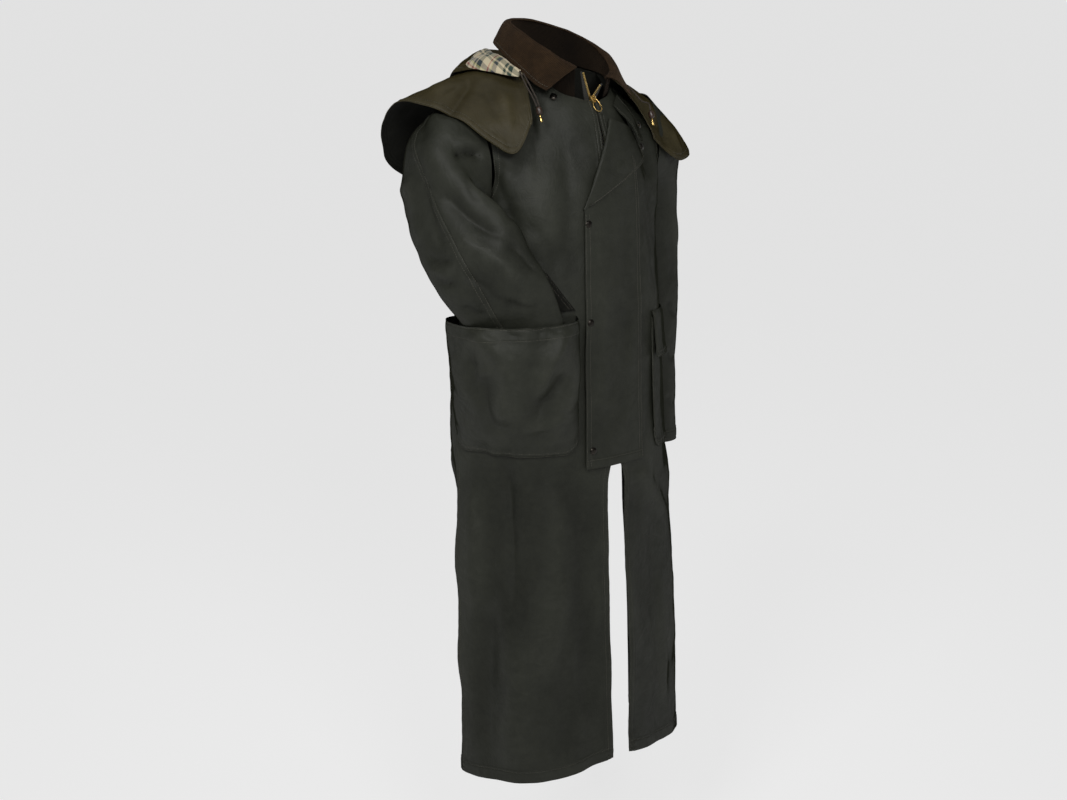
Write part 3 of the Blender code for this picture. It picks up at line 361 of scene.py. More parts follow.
# Creases, in the photograph's pixels: path, half width on its left and right, depth in metres (out is +)
CREASES = {
    "body": (
        (((503, 440), (503, 487), (505, 516), (509, 556), (514, 650)), 24.0, 12.0, -0.0075),
        (((550, 462), (557, 520), (553, 600), (545, 690)), 14.0, 24.0, 0.0065),
        (((584, 480), (579, 560), (584, 640), (588, 730)), 10.0, 12.0, -0.0045),
        (((503, 452), (503, 487), (506, 530), (511, 610)), 34.0, 10.0, -0.011),
        (((474, 470), (472, 540), (476, 620)), 10.0, 10.0, 0.0035),
        (((487, 590), (484, 680), (480, 755)), 13.0, 12.0, -0.0035),
        (((522, 640), (519, 700), (515, 775)), 12.0, 14.0, 0.004),
        (((560, 640), (566, 700), (570, 765)), 10.0, 12.0, -0.003),
        (((575, 548), (583, 522), (590, 498)), 2.5, 3.0, 0.0014),
        (((578, 640), (585, 612), (590, 585)), 3.0, 3.0, 0.0014),
        (((590, 560), (596, 600), (594, 650)), 5.0, 5.0, 0.0025),
        (((640, 464), (655, 492), (669, 516)), 4.0, 8.0, 0.0045),
        (((634, 470), (640, 520), (644, 580), (646, 660)), 8.0, 8.0, -0.0035),
        (((660, 560), (662, 640), (664, 720)), 5.0, 6.0, 0.0035),
        (((632, 560), (630, 640), (633, 730)), 5.0, 6.0, 0.003),
        (((630, 500), (640, 508), (654, 512)), 3.0, 3.0, -0.0014),
        (((526, 150), (540, 200), (548, 262)), 20.0, 18.0, 0.0035),
        (((556, 108), (566, 160), (570, 230), (571, 296)), 10.0, 14.0, -0.0035),
        (((561, 82), (568, 90), (575, 97)), 2.5, 3.0, -0.0026),
        (((488, 160), (498, 185), (512, 220), (524, 252)), 9.0, 8.0, -0.0045),
        (((494, 162), (512, 172), (532, 176)), 5.0, 6.0, -0.0026),
        (((520, 215), (544, 240), (566, 276)), 6.0, 8.0, -0.0024),
        (((648, 176), (651, 240), (653, 296)), 6.0, 6.0, -0.003),
    ),
    "flap": (
        (((598, 232), (603, 320), (600, 430)), 8.0, 8.0, 0.0022),
        (((622, 200), (627, 300), (622, 430)), 6.0, 7.0, -0.0014),
        (((588, 398), (602, 404), (618, 400)), 5.0, 5.0, 0.0012),
        (((590, 196), (606, 180), (628, 160)), 5.0, 7.0, 0.0016),
        (((612, 280), (624, 292), (634, 312)), 4.0, 5.0, 0.0012),
    ),
    "sleeve_right": (
        (((454, 147), (466, 143), (481, 147)), 5.0, 3.0, 0.0045),
        (((451, 158), (463, 153), (484, 156)), 3.0, 4.0, -0.0075),
        (((430, 112), (446, 130), (457, 142)), 9.0, 9.0, 0.0045),
        (((437, 187), (455, 206), (476, 224), (504, 241)), 8.0, 9.0, -0.0075),
        (((455, 168), (476, 184), (496, 206), (509, 223)), 8.0, 9.0, 0.005),
        (((452, 235), (474, 246), (500, 262), (526, 287)), 8.0, 9.0, 0.005),
        (((508, 240), (521, 253), (539, 275)), 5.0, 6.0, -0.0045),
        (((458, 268), (476, 282), (500, 298), (524, 310)), 8.0, 6.0, -0.005),
        (((488, 289), (512, 299), (546, 307)), 6.0, 6.0, 0.0035),
        (((418, 150), (424, 190), (436, 232), (446, 262)), 6.0, 7.0, -0.0045),
        (((407, 176), (413, 213), (421, 248)), 5.0, 5.0, 0.0035),
        (((424, 255), (438, 261), (453, 260)), 4.0, 4.0, -0.005),
        (((428, 267), (442, 272), (457, 271)), 4.0, 4.0, 0.0035),
        (((433, 279), (446, 285), (460, 282)), 4.0, 4.0, -0.0045),
        (((419, 106), (423, 125), (419, 146)), 6.0, 6.0, -0.0035),
        (((462, 170), (470, 190), (479, 205)), 4.0, 4.0, -0.0028),
        (((470, 233), (488, 237), (510, 247)), 3.0, 3.0, 0.002),
        (((461, 304), (474, 313), (489, 318)), 4.0, 4.0, -0.004),
        (((505, 300), (520, 305), (542, 306)), 4.0, 4.0, -0.0028),
    ),
    "sleeve_left": (
        (((671, 205), (676, 240), (679, 275)), 4.0, 4.0, 0.0035),
        (((666, 298), (673, 311), (680, 317)), 3.0, 4.0, -0.004),
        (((667, 350), (673, 357), (678, 355)), 3.0, 3.0, -0.0035),
        (((667, 394), (673, 402), (678, 400)), 3.0, 3.0, -0.0035),
        (((666, 230), (672, 252), (670, 286)), 4.0, 4.0, -0.003),
    ),
    "pocket_right": (
        (((468, 328), (490, 345), (504, 360), (513, 377)), 10.0, 16.0, 0.0105),
        (((511, 362), (508, 386), (503, 404), (507, 430)), 12.0, 10.0, 0.0095),
        (((486, 333), (506, 349), (530, 353), (550, 348)), 6.0, 8.0, 0.0018),
        (((568, 327), (556, 352), (546, 374), (537, 402)), 7.0, 7.0, 0.0085),
        (((568, 368), (552, 395), (533, 420)), 8.0, 8.0, -0.0085),
        (((518, 429), (542, 427), (566, 420)), 5.0, 5.0, 0.0035),
        (((482, 372), (486, 408), (500, 436)), 8.0, 9.0, -0.0065),
        (((470, 342), (474, 370), (469, 404)), 5.0, 5.0, -0.003),
        (((555, 392), (564, 396), (573, 394)), 2.0, 2.0, 0.0018),
        (((557, 404), (566, 408), (574, 405)), 2.0, 2.0, 0.002),
        (((555, 417), (565, 421), (575, 418)), 2.2, 2.2, 0.0018),
        (((560, 378), (567, 381), (573, 379)), 1.8, 1.8, 0.0014),
        (((540, 321), (549, 328), (562, 335)), 2.5, 2.5, -0.0018),
        (((520, 322), (531, 329), (546, 334)), 2.5, 3.0, -0.0018),
        (((499, 324), (508, 333), (522, 338)), 3.0, 3.0, -0.0018),
        (((479, 327), (488, 336), (499, 343)), 3.0, 3.0, 0.0022),
    ),
    "cape": (
        (((444, 124), (456, 104), (464, 90), (474, 72)), 5.0, 9.0, -0.006),
        (((499, 88), (508, 110), (512, 136)), 7.0, 8.0, 0.0028),
        (((480, 80), (492, 100), (500, 126)), 8.0, 8.0, -0.0032),
        (((428, 91), (442, 84), (456, 76)), 4.0, 5.0, 0.002),
        (((438, 99), (448, 90), (458, 84)), 3.0, 3.0, -0.0018),
        (((650, 116), (662, 131), (668, 149)), 4.0, 4.0, -0.004),
        (((671, 128), (676, 142), (681, 157)), 3.0, 3.0, 0.003),
    ),
    "hood": (
        (((450, 63), (468, 59), (490, 53)), 2.0, 2.5, -0.002),
        (((478, 50), (486, 54), (496, 58)), 2.0, 2.0, -0.0018),
    ),
}

CREASE_DEEPEN = 1.4
CREASE_FALL = 1.5
CREASE_ROUND = 0.45
CREASE_FADE = 0.25
CREASE_POINTS = 24
# Cloth that faces the photograph's camera takes its creases: start and slope
CREASE_SEEN = (0.15, 2.5)
# Height of a crease that counts as a full ridge, in the painted crease light and shade and in the worn
# ridges
RIDGE_FULL = 0.004

# Creases on sides that the photograph doesn't show, in metres: path, half widths, depth
HIDDEN_CREASES = {
    "body": (
        (((-0.1, 0.118, -0.22), (-0.09, 0.128, -0.36), (-0.06, 0.138, -0.52)), 0.022, 0.026, -0.0055),
        (((0.09, 0.118, -0.22), (0.1, 0.126, -0.36), (0.07, 0.137, -0.54)), 0.024, 0.022, -0.005),
        (((-0.16, 0.088, -0.42), (-0.08, 0.13, -0.45), (0.01, 0.14, -0.46)), 0.012, 0.016, -0.004),
        (((0.17, 0.078, -0.4), (0.1, 0.124, -0.42), (0.03, 0.138, -0.44)), 0.012, 0.015, 0.0035),
        (((-0.03, 0.12, -0.2), (-0.02, 0.132, -0.32), (-0.02, 0.139, -0.44)), 0.018, 0.018, 0.0035),
        (((0.185, 0.04, -0.3), (0.192, 0.046, -0.42), (0.2, 0.036, -0.58)), 0.016, 0.018, -0.0045),
        (((-0.19, 0.04, -0.3), (-0.194, 0.046, -0.42), (-0.2, 0.036, -0.58)), 0.016, 0.018, -0.0045),
        (((0.205, 0.0, -0.7), (0.212, 0.004, -0.9), (0.214, -0.006, -1.12)), 0.02, 0.02, 0.0055),
        (((-0.206, 0.0, -0.68), (-0.212, 0.006, -0.9), (-0.214, -0.004, -1.12)), 0.02, 0.02, 0.0055),
        (((0.19, -0.07, -0.72), (0.196, -0.074, -0.92), (0.196, -0.082, -1.14)), 0.018, 0.02, -0.005),
    ),
    "sleeve_left": (
        (((0.23, 0.118, -0.385), (0.27, 0.124, -0.405), (0.308, 0.1, -0.4)), 0.008, 0.011, -0.0055),
        (((0.24, 0.12, -0.425), (0.28, 0.122, -0.44), (0.312, 0.085, -0.435)), 0.007, 0.01, -0.0045),
        (((0.25, 0.122, -0.345), (0.29, 0.112, -0.36), (0.312, 0.07, -0.375)), 0.008, 0.01, -0.0045),
        (((0.3, 0.0, -0.3), (0.306, 0.05, -0.325), (0.295, 0.1, -0.335)), 0.01, 0.012, -0.004),
        (((0.288, 0.01, -0.19), (0.298, 0.048, -0.24), (0.3, 0.088, -0.29)), 0.014, 0.016, 0.005),
        (((0.316, 0.03, -0.52), (0.314, 0.07, -0.54), (0.286, 0.116, -0.545)), 0.008, 0.01, -0.004),
        (((0.313, 0.05, -0.61), (0.3, 0.095, -0.62), (0.262, 0.118, -0.612)), 0.007, 0.009, -0.0035),
        (((0.262, 0.122, -0.46), (0.27, 0.121, -0.54), (0.268, 0.118, -0.64)), 0.014, 0.014, 0.004),
    ),
    "sleeve_right": (
        (((-0.3, -0.02, -0.205), (-0.288, 0.022, -0.225), (-0.252, 0.05, -0.24)), 0.01, 0.012, -0.0055),
        (((-0.292, -0.04, -0.24), (-0.28, -0.002, -0.262), (-0.248, 0.014, -0.28)), 0.009, 0.012, -0.005),
        (((-0.296, 0.0, -0.15), (-0.294, 0.04, -0.175), (-0.262, 0.074, -0.19)), 0.012, 0.014, 0.005),
        (((-0.278, -0.06, -0.285), (-0.262, -0.034, -0.31), (-0.23, -0.02, -0.325)), 0.009, 0.01, -0.0045),
    ),
    "cape": (
        (((-0.1, 0.13, -0.01), (-0.13, 0.172, -0.09), (-0.14, 0.186, -0.18)), 0.02, 0.026, 0.006),
        (((-0.04, 0.14, -0.02), (-0.05, 0.182, -0.1), (-0.06, 0.19, -0.19)), 0.018, 0.022, -0.006),
        (((0.06, 0.138, -0.02), (0.08, 0.18, -0.1), (0.09, 0.19, -0.19)), 0.02, 0.03, -0.006),
        (((0.17, 0.112, -0.02), (0.22, 0.14, -0.09), (0.25, 0.152, -0.17)), 0.018, 0.02, 0.006),
        (((0.21, 0.06, -0.03), (0.27, 0.072, -0.08), (0.3, 0.074, -0.14)), 0.018, 0.02, -0.005),
        (((-0.19, 0.1, -0.01), (-0.24, 0.138, -0.06), (-0.25, 0.156, -0.11)), 0.015, 0.02, -0.0045),
    ),
    "hood": (
        (((-0.12, 0.08, 0.035), (-0.14, 0.11, 0.03), (-0.15, 0.13, 0.0)), 0.01, 0.012, -0.0035),
        (((0.0, 0.118, 0.03), (0.01, 0.16, 0.028), (0.01, 0.198, -0.03)), 0.012, 0.016, -0.0045),
        (((0.08, 0.09, 0.03), (0.1, 0.125, 0.026), (0.12, 0.145, -0.005)), 0.01, 0.012, -0.0035),
        (((-0.06, 0.105, 0.035), (-0.08, 0.14, 0.03), (-0.09, 0.17, -0.01)), 0.014, 0.014, 0.004),
    ),
}

# Pieces that keep clear of the settled shoulder
UNSETTLED = ("cloth_sleeve_left_front", "cloth_sleeve_left_back")

# Cells of each piece's grid: length of the edge, finer bands at its first and last end, cell
CELLS = {
    "panel_low": (1.0, 0.026, 0.0, 0.0085), "panel_high": (0.24,),
    "front_across": (0.36, 0.014, 0.012), "back_across": (0.30, 0.014, 0.0),
    "sleeve_down": (0.55, 0.0, 0.024, 0.0055), "sleeve_across": (0.20, 0.012, 0.012, 0.0052),
    "cape_across": (1.20, 0.014, 0.014, 0.0060), "cape_down": (0.26, 0.0, 0.016, 0.0058),
    "collar_across": (0.50, 0.008, 0.008, 0.0026), "stand_up": (0.07, 0.0, 0.0, 0.0045),
    "leaf_down": (0.06, 0.0, 0.010, 0.0040),
    "hood_across": (0.60, 0.0, 0.0, 0.0060), "hood_down": (0.13, 0.012, 0.012, 0.0052),
    "lining_across": (0.22, 0.0, 0.0, 0.0040), "lining_down": (0.11, 0.0, 0.0, 0.0040),
    "flap_low": (0.44, 0.018, 0.0, 0.0065), "flap_roll": (0.16, 0.0, 0.0, 0.0050),
    "flap_across": (0.13, 0.012, 0.012, 0.0058), "lapel_across": (0.11, 0.0, 0.014, 0.0055),
    "pocket_across": (0.30, 0.012, 0.012, 0.0042), "pocket_down": (0.24, 0.024, 0.012, 0.0048),
    "pocket_flap_across": (0.26, 0.012, 0.012, 0.0048), "pocket_flap_down": (0.08, 0.0, 0.012, 0.0042),
    "zip_low": (0.61,), "zip_high": (0.05, 0.0, 0.0, 0.003),
}
TAB_CELLS = (0.0, 0.010, 0.0030)

# Sewn edges of each piece: edge, width of the doubled cloth, distances of its stitch lines
FLAP_FOOT_STITCH = 0.014
EDGES = {
    "front": (("first_row", 0.022, (0.020,)), ("first_column", 0.012, (0.003, 0.010)),
              ("last_column", 0.010, (0.002, 0.009))),
    "back": (("first_row", 0.022, (0.020,)), ("first_column", 0.012, (0.003, 0.010))),
    "sleeve_front": (("last_row", 0.022, (0.003, 0.020)),),
    "sleeve_back": (("last_row", 0.022, (0.003, 0.020)), ("first_column", 0.010, (0.002, 0.009))),
    "cape": (("last_row", 0.014, (0.003, 0.012)), ("first_column", 0.012, (0.003, 0.010)),
             ("last_column", 0.012, (0.003, 0.010))),
    "collar_leaf": (("last_row", 0.007, (0.006,)),),
    "hood": (("first_row", 0.010, (0.009,)), ("last_row", 0.010, (0.009,))),
    "storm_flap": (("first_row", 0.015, (FLAP_FOOT_STITCH,)),),
    "throat_tab": (("first_column", 0.005, (0.004,)), ("last_column", 0.005, (0.004,)),
                   ("last_row", 0.005, (0.004,))),
    "pocket": (("first_row", 0.022, (0.003, 0.021)), ("first_column", 0.010, (0.002, 0.009)),
               ("last_column", 0.010, (0.002, 0.009)), ("last_row", 0.010, (0.002, 0.009))),
    "pocket_flap": (("last_row", 0.010, (0.003, 0.009)), ("first_column", 0.010, (0.003, 0.009)),
                    ("last_column", 0.010, (0.003, 0.009))),
}
# Grooves of those edges that carry no thread
UNSEWN = {
    "cape": (("first_column", 0.010), ("last_column", 0.010)),
    "storm_flap": (("first_row", FLAP_FOOT_STITCH),),
    "throat_tab": (("last_row", 0.004),),
}
# Stitch lines of the storm flap: distances from its two long edges, grid columns of the lapel's edge
FLAP_STITCHES = (0.003, 0.010)
LAPEL_STITCH_COLUMNS = (-3, -8)

# How much of the uneven lie each piece takes
LIE_SHARE = {
    "sleeve": 0.8, "cape": 1.2, "collar_stand": 0.5, "collar_leaf": 0.6, "hood": 1.6, "storm_flap": 0.8,
    "throat_tab": 0.4, "pocket_right": 1.4, "pocket_left": 0.4, "pocket_flap": 0.4, "zip": 0.0,
}

# Patterns: corduroy rib, check repeat, its twill and its bands (start share, colour)
WAVE_TURN = 0.314
CORD_RIB = 0.0026
CHECK_PERIOD = 0.056
CHECK_TWILL = 0.0016
CHECK_BANDS = (
    (0.0, (0.46, 0.40, 0.27)), (0.22, (0.012, 0.030, 0.020)), (0.36, (0.46, 0.40, 0.27)),
    (0.42, (0.012, 0.030, 0.020)), (0.50, (0.46, 0.40, 0.27)), (0.70, (0.014, 0.018, 0.036)),
    (0.84, (0.30, 0.30, 0.10)), (0.88, (0.46, 0.40, 0.27)), (0.95, (0.32, 0.06, 0.04)),
)

# Colours of the finishes: dark, light and, on waxed cloth, worn
WHITE = (1.0, 1.0, 1.0)
NAP_SHEEN = (0.55, 0.36, 0.22)
COLOURS = {
    "waxed_cotton": ((0.0112, 0.0120, 0.0084), (0.0270, 0.0286, 0.0212), (0.070, 0.071, 0.058)),
    # Lighter, warmer copy of the waxed cotton for the cape and hood: painted light on their top-lit
    # surfaces
    "waxed_cotton_painted_top_light": ((0.0205, 0.0166, 0.0066), (0.0430, 0.0352, 0.0150), (0.085, 0.072, 0.043)),
    "brown_corduroy": ((0.005, 0.0028, 0.0013), (0.036, 0.0200, 0.0088)),
    "shaded_corduroy": ((0.0016, 0.0010, 0.0005), (0.0085, 0.0052, 0.0026)),
    "inner_cotton": ((0.005, 0.005, 0.004), (0.014, 0.0142, 0.0116)),
    "brass": ((0.42, 0.27, 0.08), (0.80, 0.58, 0.22)),
    "dark_bronze": ((0.012, 0.011, 0.010), (0.045, 0.040, 0.034)),
    "zip_tape": ((0.010, 0.010, 0.008), (0.030, 0.029, 0.024)),
    "brown_cord": ((0.008, 0.006, 0.004), (0.045, 0.032, 0.022)),
    "thread": ((0.030, 0.029, 0.022), (0.085, 0.080, 0.062)),
    "stopper_leather": ((0.012, 0.006, 0.004), (0.040, 0.020, 0.011)),
    "pale_floor": ((0.24, 0.24, 0.24), (0.25, 0.25, 0.25)),
}
# Least roughness of the metals and how far it varies; rib of the woven pieces
METAL_ROUGHNESS = {"brass": 0.22, "dark_bronze": 0.26}
METAL_VARIES = 0.14
WOVEN_RIB = {"zip_tape": 0.0012, "brown_cord": 0.0016, "thread": 0.0010}
# Noises: scale, detail, roughness, distortion
NOISES = {
    "wax_broad": (6.5, 4.0, 0.6), "wax_fine": (70.0, 6.0, 0.7), "wax_streak": (24.0, 5.0, 0.65, 1.8),
    "wax_crinkle": (30.0, 3.0, 0.55, 1.2), "wax_weave": (1100.0, 2.0, 0.6),
    "nap": (90.0, 5.0, 0.7), "nap_broad": (22.0, 4.0, 0.6, 0.8), "pile": (500.0, 3.0),
    "check_lie": (45.0, 3.0), "inner_nap": (140.0, 5.0, 0.7), "inner_weave": (900.0, 2.0),
    "tarnish": (160.0, 6.0, 0.7), "polish": (420.0, 4.0), "scratch": (900.0, 3.0),
    "leather": (220.0, 4.0), "paper": (3.0, 2.0),
}
# Ranges: from low, from high, to low, to high
RANGES = {
    "wax_broad": (0.3, 0.7, 0.08, 0.54), "wax_fine": (0.3, 0.7, 0.0, 0.36), "whole": (0.0, 1.0),
    "worn_ridge": (0.25, 1.0), "worn_streak": (0.45, 0.7), "wax_rough": (0.3, 0.7, 0.52, 0.62),
    "wax_gloss": (0.35, 0.78, 0.20, 0.0), "rib": (0.0, 1.0, 0.35, 1.0), "nap": (0.25, 0.75, 0.40, 1.0),
    "nap_broad": (0.35, 0.65, 0.55, 1.35), "twill": (0.3, 0.7, 0.35, 0.65), "tarnish": (0.35, 0.7),
    "polish": (0.3, 0.7),
}
# Bumps: strength, distance
BUMPS = {
    "wax_crinkle": (0.42, 0.0034), "wax_streak": (0.22, 0.0024), "wax_weave": (0.10, 0.0006),
    "rib": (0.7, 0.0009), "pile": (0.25, 0.0006), "twill": (0.2, 0.0005), "check_lie": (0.3, 0.003),
    "inner_weave": (0.15, 0.0005), "scratch": (0.12, 0.0003), "thread": (0.5, 0.0004),
    "leather": (0.2, 0.0003),
}
# Painted light and shade: crease ridges are coloured lighter and crease troughs darker
PAINTED_CREASE_LIGHT_SHADE = 0.22
WORN_SHARE = 0.14
NOISE_MIDDLE = 0.5
LEATHER_GRAIN = 900.0
EVEN_BLEND = 0.5
# Waviness of the corduroy's and the woven pieces' ribs
CORD_WAVER = {"Distortion": 0.6, "Detail": 1.0, "Detail Scale": 2.0}
WOVEN_WAVER = {"Distortion": 0.4}

# Softened edges of the hard pieces
WELD_GAP = 0.00002
SLIDER_BEVEL = 0.0009
BEVEL_STEPS = 3
SMOOTH_LEVELS = 2

# Lights: place, size, spread in degrees and power; brightness of the surround and of the floor
WORLD_LIGHT = 0.12
# The floor's glow, from close in front of the coat to behind it and far from it
FLOOR_GLOW = (0.30, 0.725)
FLOOR_GLOW_RUN = (-4.5, 0.2)
FLOOR_GLOW_FAR = (3.0, 8.0)
LIGHT_TARGET = (0.0, 0.0, -0.25)
LIGHTS = {
    "key": ((-2.4, -1.4, 1.8), 0.9, 90.0, 12.0),
    "fill": ((-1.2, -2.7, 1.1), 0.9, 60.0, 5.0),
    "top": ((0.2, 0.0, 2.4), 1.4, 120.0, 3.5),
}

SIDES = ((-1, "right"), (1, "left"))


def ease(t):
    """Smooth step from 0 to 1."""
    t = np.clip(t, 0.0, 1.0)
    return t * t * (3.0 - 2.0 * t)


def unit(vectors):
    """Vectors of length 1."""
    return vectors / np.linalg.norm(vectors, axis=-1, keepdims=True)


def run_lengths(points):
    """Distance along a line to each of its points."""
    return np.concatenate([[0.0], np.cumsum(np.linalg.norm(np.diff(points, axis=0), axis=1))])


def read_line(at, keys, values):
    """Values along a line, read at distances from its start."""
    return np.stack([np.interp(at, keys, values[:, k]) for k in range(3)], -1)


def spline(keys, values, at):
    """Smooth curve through a table's rows, read at any key."""
    keys = np.asarray(keys, float)
    values = np.asarray(values, float)
    slopes = np.gradient(values, keys, axis=0)
    at = np.clip(np.asarray(at, float), keys[0], keys[-1])
    i = np.clip(np.searchsorted(keys, at) - 1, 0, len(keys) - 2)
    width = keys[i + 1] - keys[i]
    t = (at - keys[i]) / width
    deep = np.shape(t) + (1,) * (values.ndim - 1)
    t = t.reshape(deep)
    width = width.reshape(deep)
    rise = (t ** 3 - 2 * t ** 2 + t) * slopes[i] * width + (t ** 3 - t ** 2) * slopes[i + 1] * width
    return values[i] + (3 * t ** 2 - 2 * t ** 3) * (values[i + 1] - values[i]) + rise


def folds(angle, z):
    """How far the large folds push the body cloth out."""
    out = np.zeros(np.broadcast(angle, z).shape)
    for middle, half, top, foot, depth in FOLDS:
        across = np.exp(-((np.degrees(angle) - middle) / half) ** 2)
        along = ease((top - z) / FOLD_FADE) * ease((z - foot) / FOLD_FADE + 1.0)
        out += depth * across * along
    return out


def body(angle, z, out=0.0):
    """Point of the worn body cloth, moved out by `out`."""
    angle, z = np.broadcast_arrays(np.asarray(angle, float), np.asarray(z, float))
    half_width, front, back, centre_y = np.moveaxis(spline(BODY[:, 0], BODY[:, 1:], z), -1, 0)
    s = np.sin(angle)
    c = np.cos(angle)
    off = out + folds(angle, z)
    x = half_width * np.sign(s) * np.abs(s) ** ROUND + off * s
    y = centre_y - np.where(c > 0, front, back) * np.sign(c) * np.abs(c) ** ROUND - off * c
    return np.stack([x, y, z], -1)


def angle_at_x(x, z):
    """Angle at which the front body cloth stands at a distance x from the middle."""
    half_width = spline(BODY[:, 0], BODY[:, 1], z)
    return np.arcsin(np.clip(x / half_width, 0.0, 1.0) ** (1.0 / ROUND))


def hem_z(angle):
    """Height of the hem: it is cut higher in front."""
    return spline(HEM[:, 0], HEM[:, 1], np.abs(np.degrees(angle)))


def front_edge(side, z):
    """Angle of a front's free edge: beside the zip above, swung open below."""
    opening = ZIP_HALF_GAP + (SLIT_HALF - ZIP_HALF_GAP) * ease((SLIT_TOP_Z - z) / SLIT_RUN)
    return side * angle_at_x(opening, z)


def vent_edge(side, z):
    """Angle of a back's inner edge: the middle seam above, the drawn-open vent below."""
    middle = pi + BACK_LAP[side]
    return side * (middle - (middle - VENT_ANGLE[side]) * ease((VENT_TOP_Z - z) / VENT_RUN) ** VENT_CURVE)


def neck(angle, out=0.0, lift=0.0):
    """Point of the neckline."""
    angle = np.asarray(angle, float)
    s = np.sin(angle)
    c = np.cos(angle)
    x = (NECK_HALF_WIDTH + out) * s
    y = -(np.where(c > 0, NECK_FRONT, NECK_BACK) + out) * c
    from_front = np.abs(np.degrees(np.arctan2(s, c)))
    return np.stack([x, y, spline(NECK_LINE[:, 0], NECK_LINE[:, 1], from_front) + lift], -1)


def armhole(side, turn):
    """Point of an armhole, from the underarm (0) through the front to the shoulder (pi)."""
    under = body(np.array(side * SIDE_SEAM), np.array(UNDERARM_Z))
    rise = (1.0 - np.cos(turn)) / 2.0
    x = side * (abs(under[0]) + (SHOULDER_X - abs(under[0])) * rise - ARMHOLE_PINCH * np.abs(np.sin(turn)))
    y = under[1] - ARMHOLE_HALF_DEPTH * np.sin(turn)
    return np.stack([x, y, UNDERARM_Z + (SHOULDER_Z - UNDERARM_Z) * rise], -1)


def top_edge(side, s, middle_angle):
    """Neckline, then the shoulder seam out to the shoulder point."""
    seam_angle = side * pi / 2
    along_neck = neck(middle_angle + (seam_angle - middle_angle) * np.clip(s / NECK_SHARE, 0, 1))
    t = np.clip((s - NECK_SHARE) / (1 - NECK_SHARE), 0, 1)[..., None]
    return along_neck * (1 - t) + armhole(side, np.array(pi)) * t


def panel(side, edge, is_front, columns, rows_low, rows_high):
    """Grid of a front or back panel, from its middle edge (column 0) to side seam and armhole."""
    s = columns[None, :]
    seam = side * (SIDE_SEAM - (0.0 if is_front else SEAM_LAP / SIDE_SEAM_RADIUS))

    def low(t):
        first = edge(side, np.full_like(s, HEM_Z))
        foot = hem_z(first + (seam - first) * s)
        z = foot + (UNDERARM_Z - foot) * t
        start = edge(side, z)
        return body(start + (seam - start) * s, z)

    lower = low(rows_low[:, None])
    base = lower[-1:]
    climb = unit((base - low(np.array([[1.0 - CLIMB_STEP]]))) / CLIMB_STEP)
    middle = edge(side, np.array(UNDERARM_Z))
    top = top_edge(side, s, middle)
    height = np.linalg.norm(top - base, axis=-1, keepdims=True)
    over = np.array([0.0, SHOULDER_LEAN[0] * (1 if is_front else -1), SHOULDER_LEAN[1]])
    t = rows_high[1:, None, None]
    upper = (base + (3 * t ** 2 - 2 * t ** 3) * (top - base) + (t ** 3 - 2 * t ** 2 + t) * climb * height
             + (t ** 3 - t ** 2) * over * height)
    turn = pi * t[..., 0] if is_front else 2 * pi - pi * t[..., 0]
    pull = armhole(side, turn) - upper[:, -1:]
    upper = upper + pull * ease((s - ARMHOLE_PULL_FROM) / (1 - ARMHOLE_PULL_FROM))[..., None]
    return np.concatenate([lower, upper])


def ring_axes(side, yaw, rise, lift):
    """Directions of a sleeve ring: out from the body, and forward."""
    level_out = np.array([side * cos(yaw), -sin(yaw), 0.0])
    level_front = np.array([-side * sin(yaw), -cos(yaw), 0.0])
    up = np.array([0.0, 0.0, 1.0])
    return level_out * cos(rise) + up * sin(rise), level_front * cos(lift) + up * sin(lift)


def sleeve(side, turns, rows):
    """Grid of a sleeve's wall, from the armhole (row 0) to the cuff."""
    table = SLEEVES[side]
    middle = (armhole(side, np.array(0.0)) + armhole(side, np.array(pi))) / 2
    path = np.vstack([middle, table[:, :3]])
    rings = [armhole(side, turns) + np.array([side * ARMHOLE_CLEAR, 0.0, 0.0])]
    for row in table:
        out, front = ring_axes(side, *np.radians(row[5:]))
        across = np.cos(turns)[:, None] * row[3] * out
        rings.append(row[:3] - across + np.sin(turns)[:, None] * row[4] * front)
    keys = run_lengths(path)
    return spline(keys, np.array(rings), keys[-1] * rows)


def bezier(a, b, c, t):
    """Quadratic curve from a to c, drawn towards b."""
    return a * (1 - t) ** 2 + b * 2 * t * (1 - t) + c * t ** 2


def cape(columns, rows):
    """Grid of the cape, from the neck (row 0) to its hem."""
    key = columns * (len(CAPE) - 1)
    ribs = spline(np.arange(len(CAPE)), CAPE, key)
    start = neck(np.radians(ribs[:, 0]), CAPE_OUT, CAPE_LIFT)
    hem = ribs[:, 1:4]
    crown = ribs[:, 4:5]
    pull = (start + hem) / 2 + crown * np.array([0.0, 0.0, 1.0]) + crown * CAPE_FLARE * unit_flat(hem)
    return bezier(start[None], pull[None], hem[None], rows[:, None, None])


def unit_flat(points):
    """Level direction from the neck's axis to each point."""
    return unit(points * np.array([1.0, 1.0, 0.0]))


def collar_rows(columns):
    """Neck, fold and edge points of the collar."""
    row = spline(np.arange(len(COLLAR)), COLLAR, columns * (len(COLLAR) - 1))
    return neck(np.radians(row[:, 0]), COLLAR_IN, COLLAR_BASE_LIFT), row[:, 1:4], row[:, 4:7]


def collar_stand(columns, rows):
    """Grid of the collar's standing part, from the neckline to the fold."""
    base, fold, _ = collar_rows(columns)
    return bezier(base[None], (base + fold)[None] / 2, fold[None], rows[:, None, None])


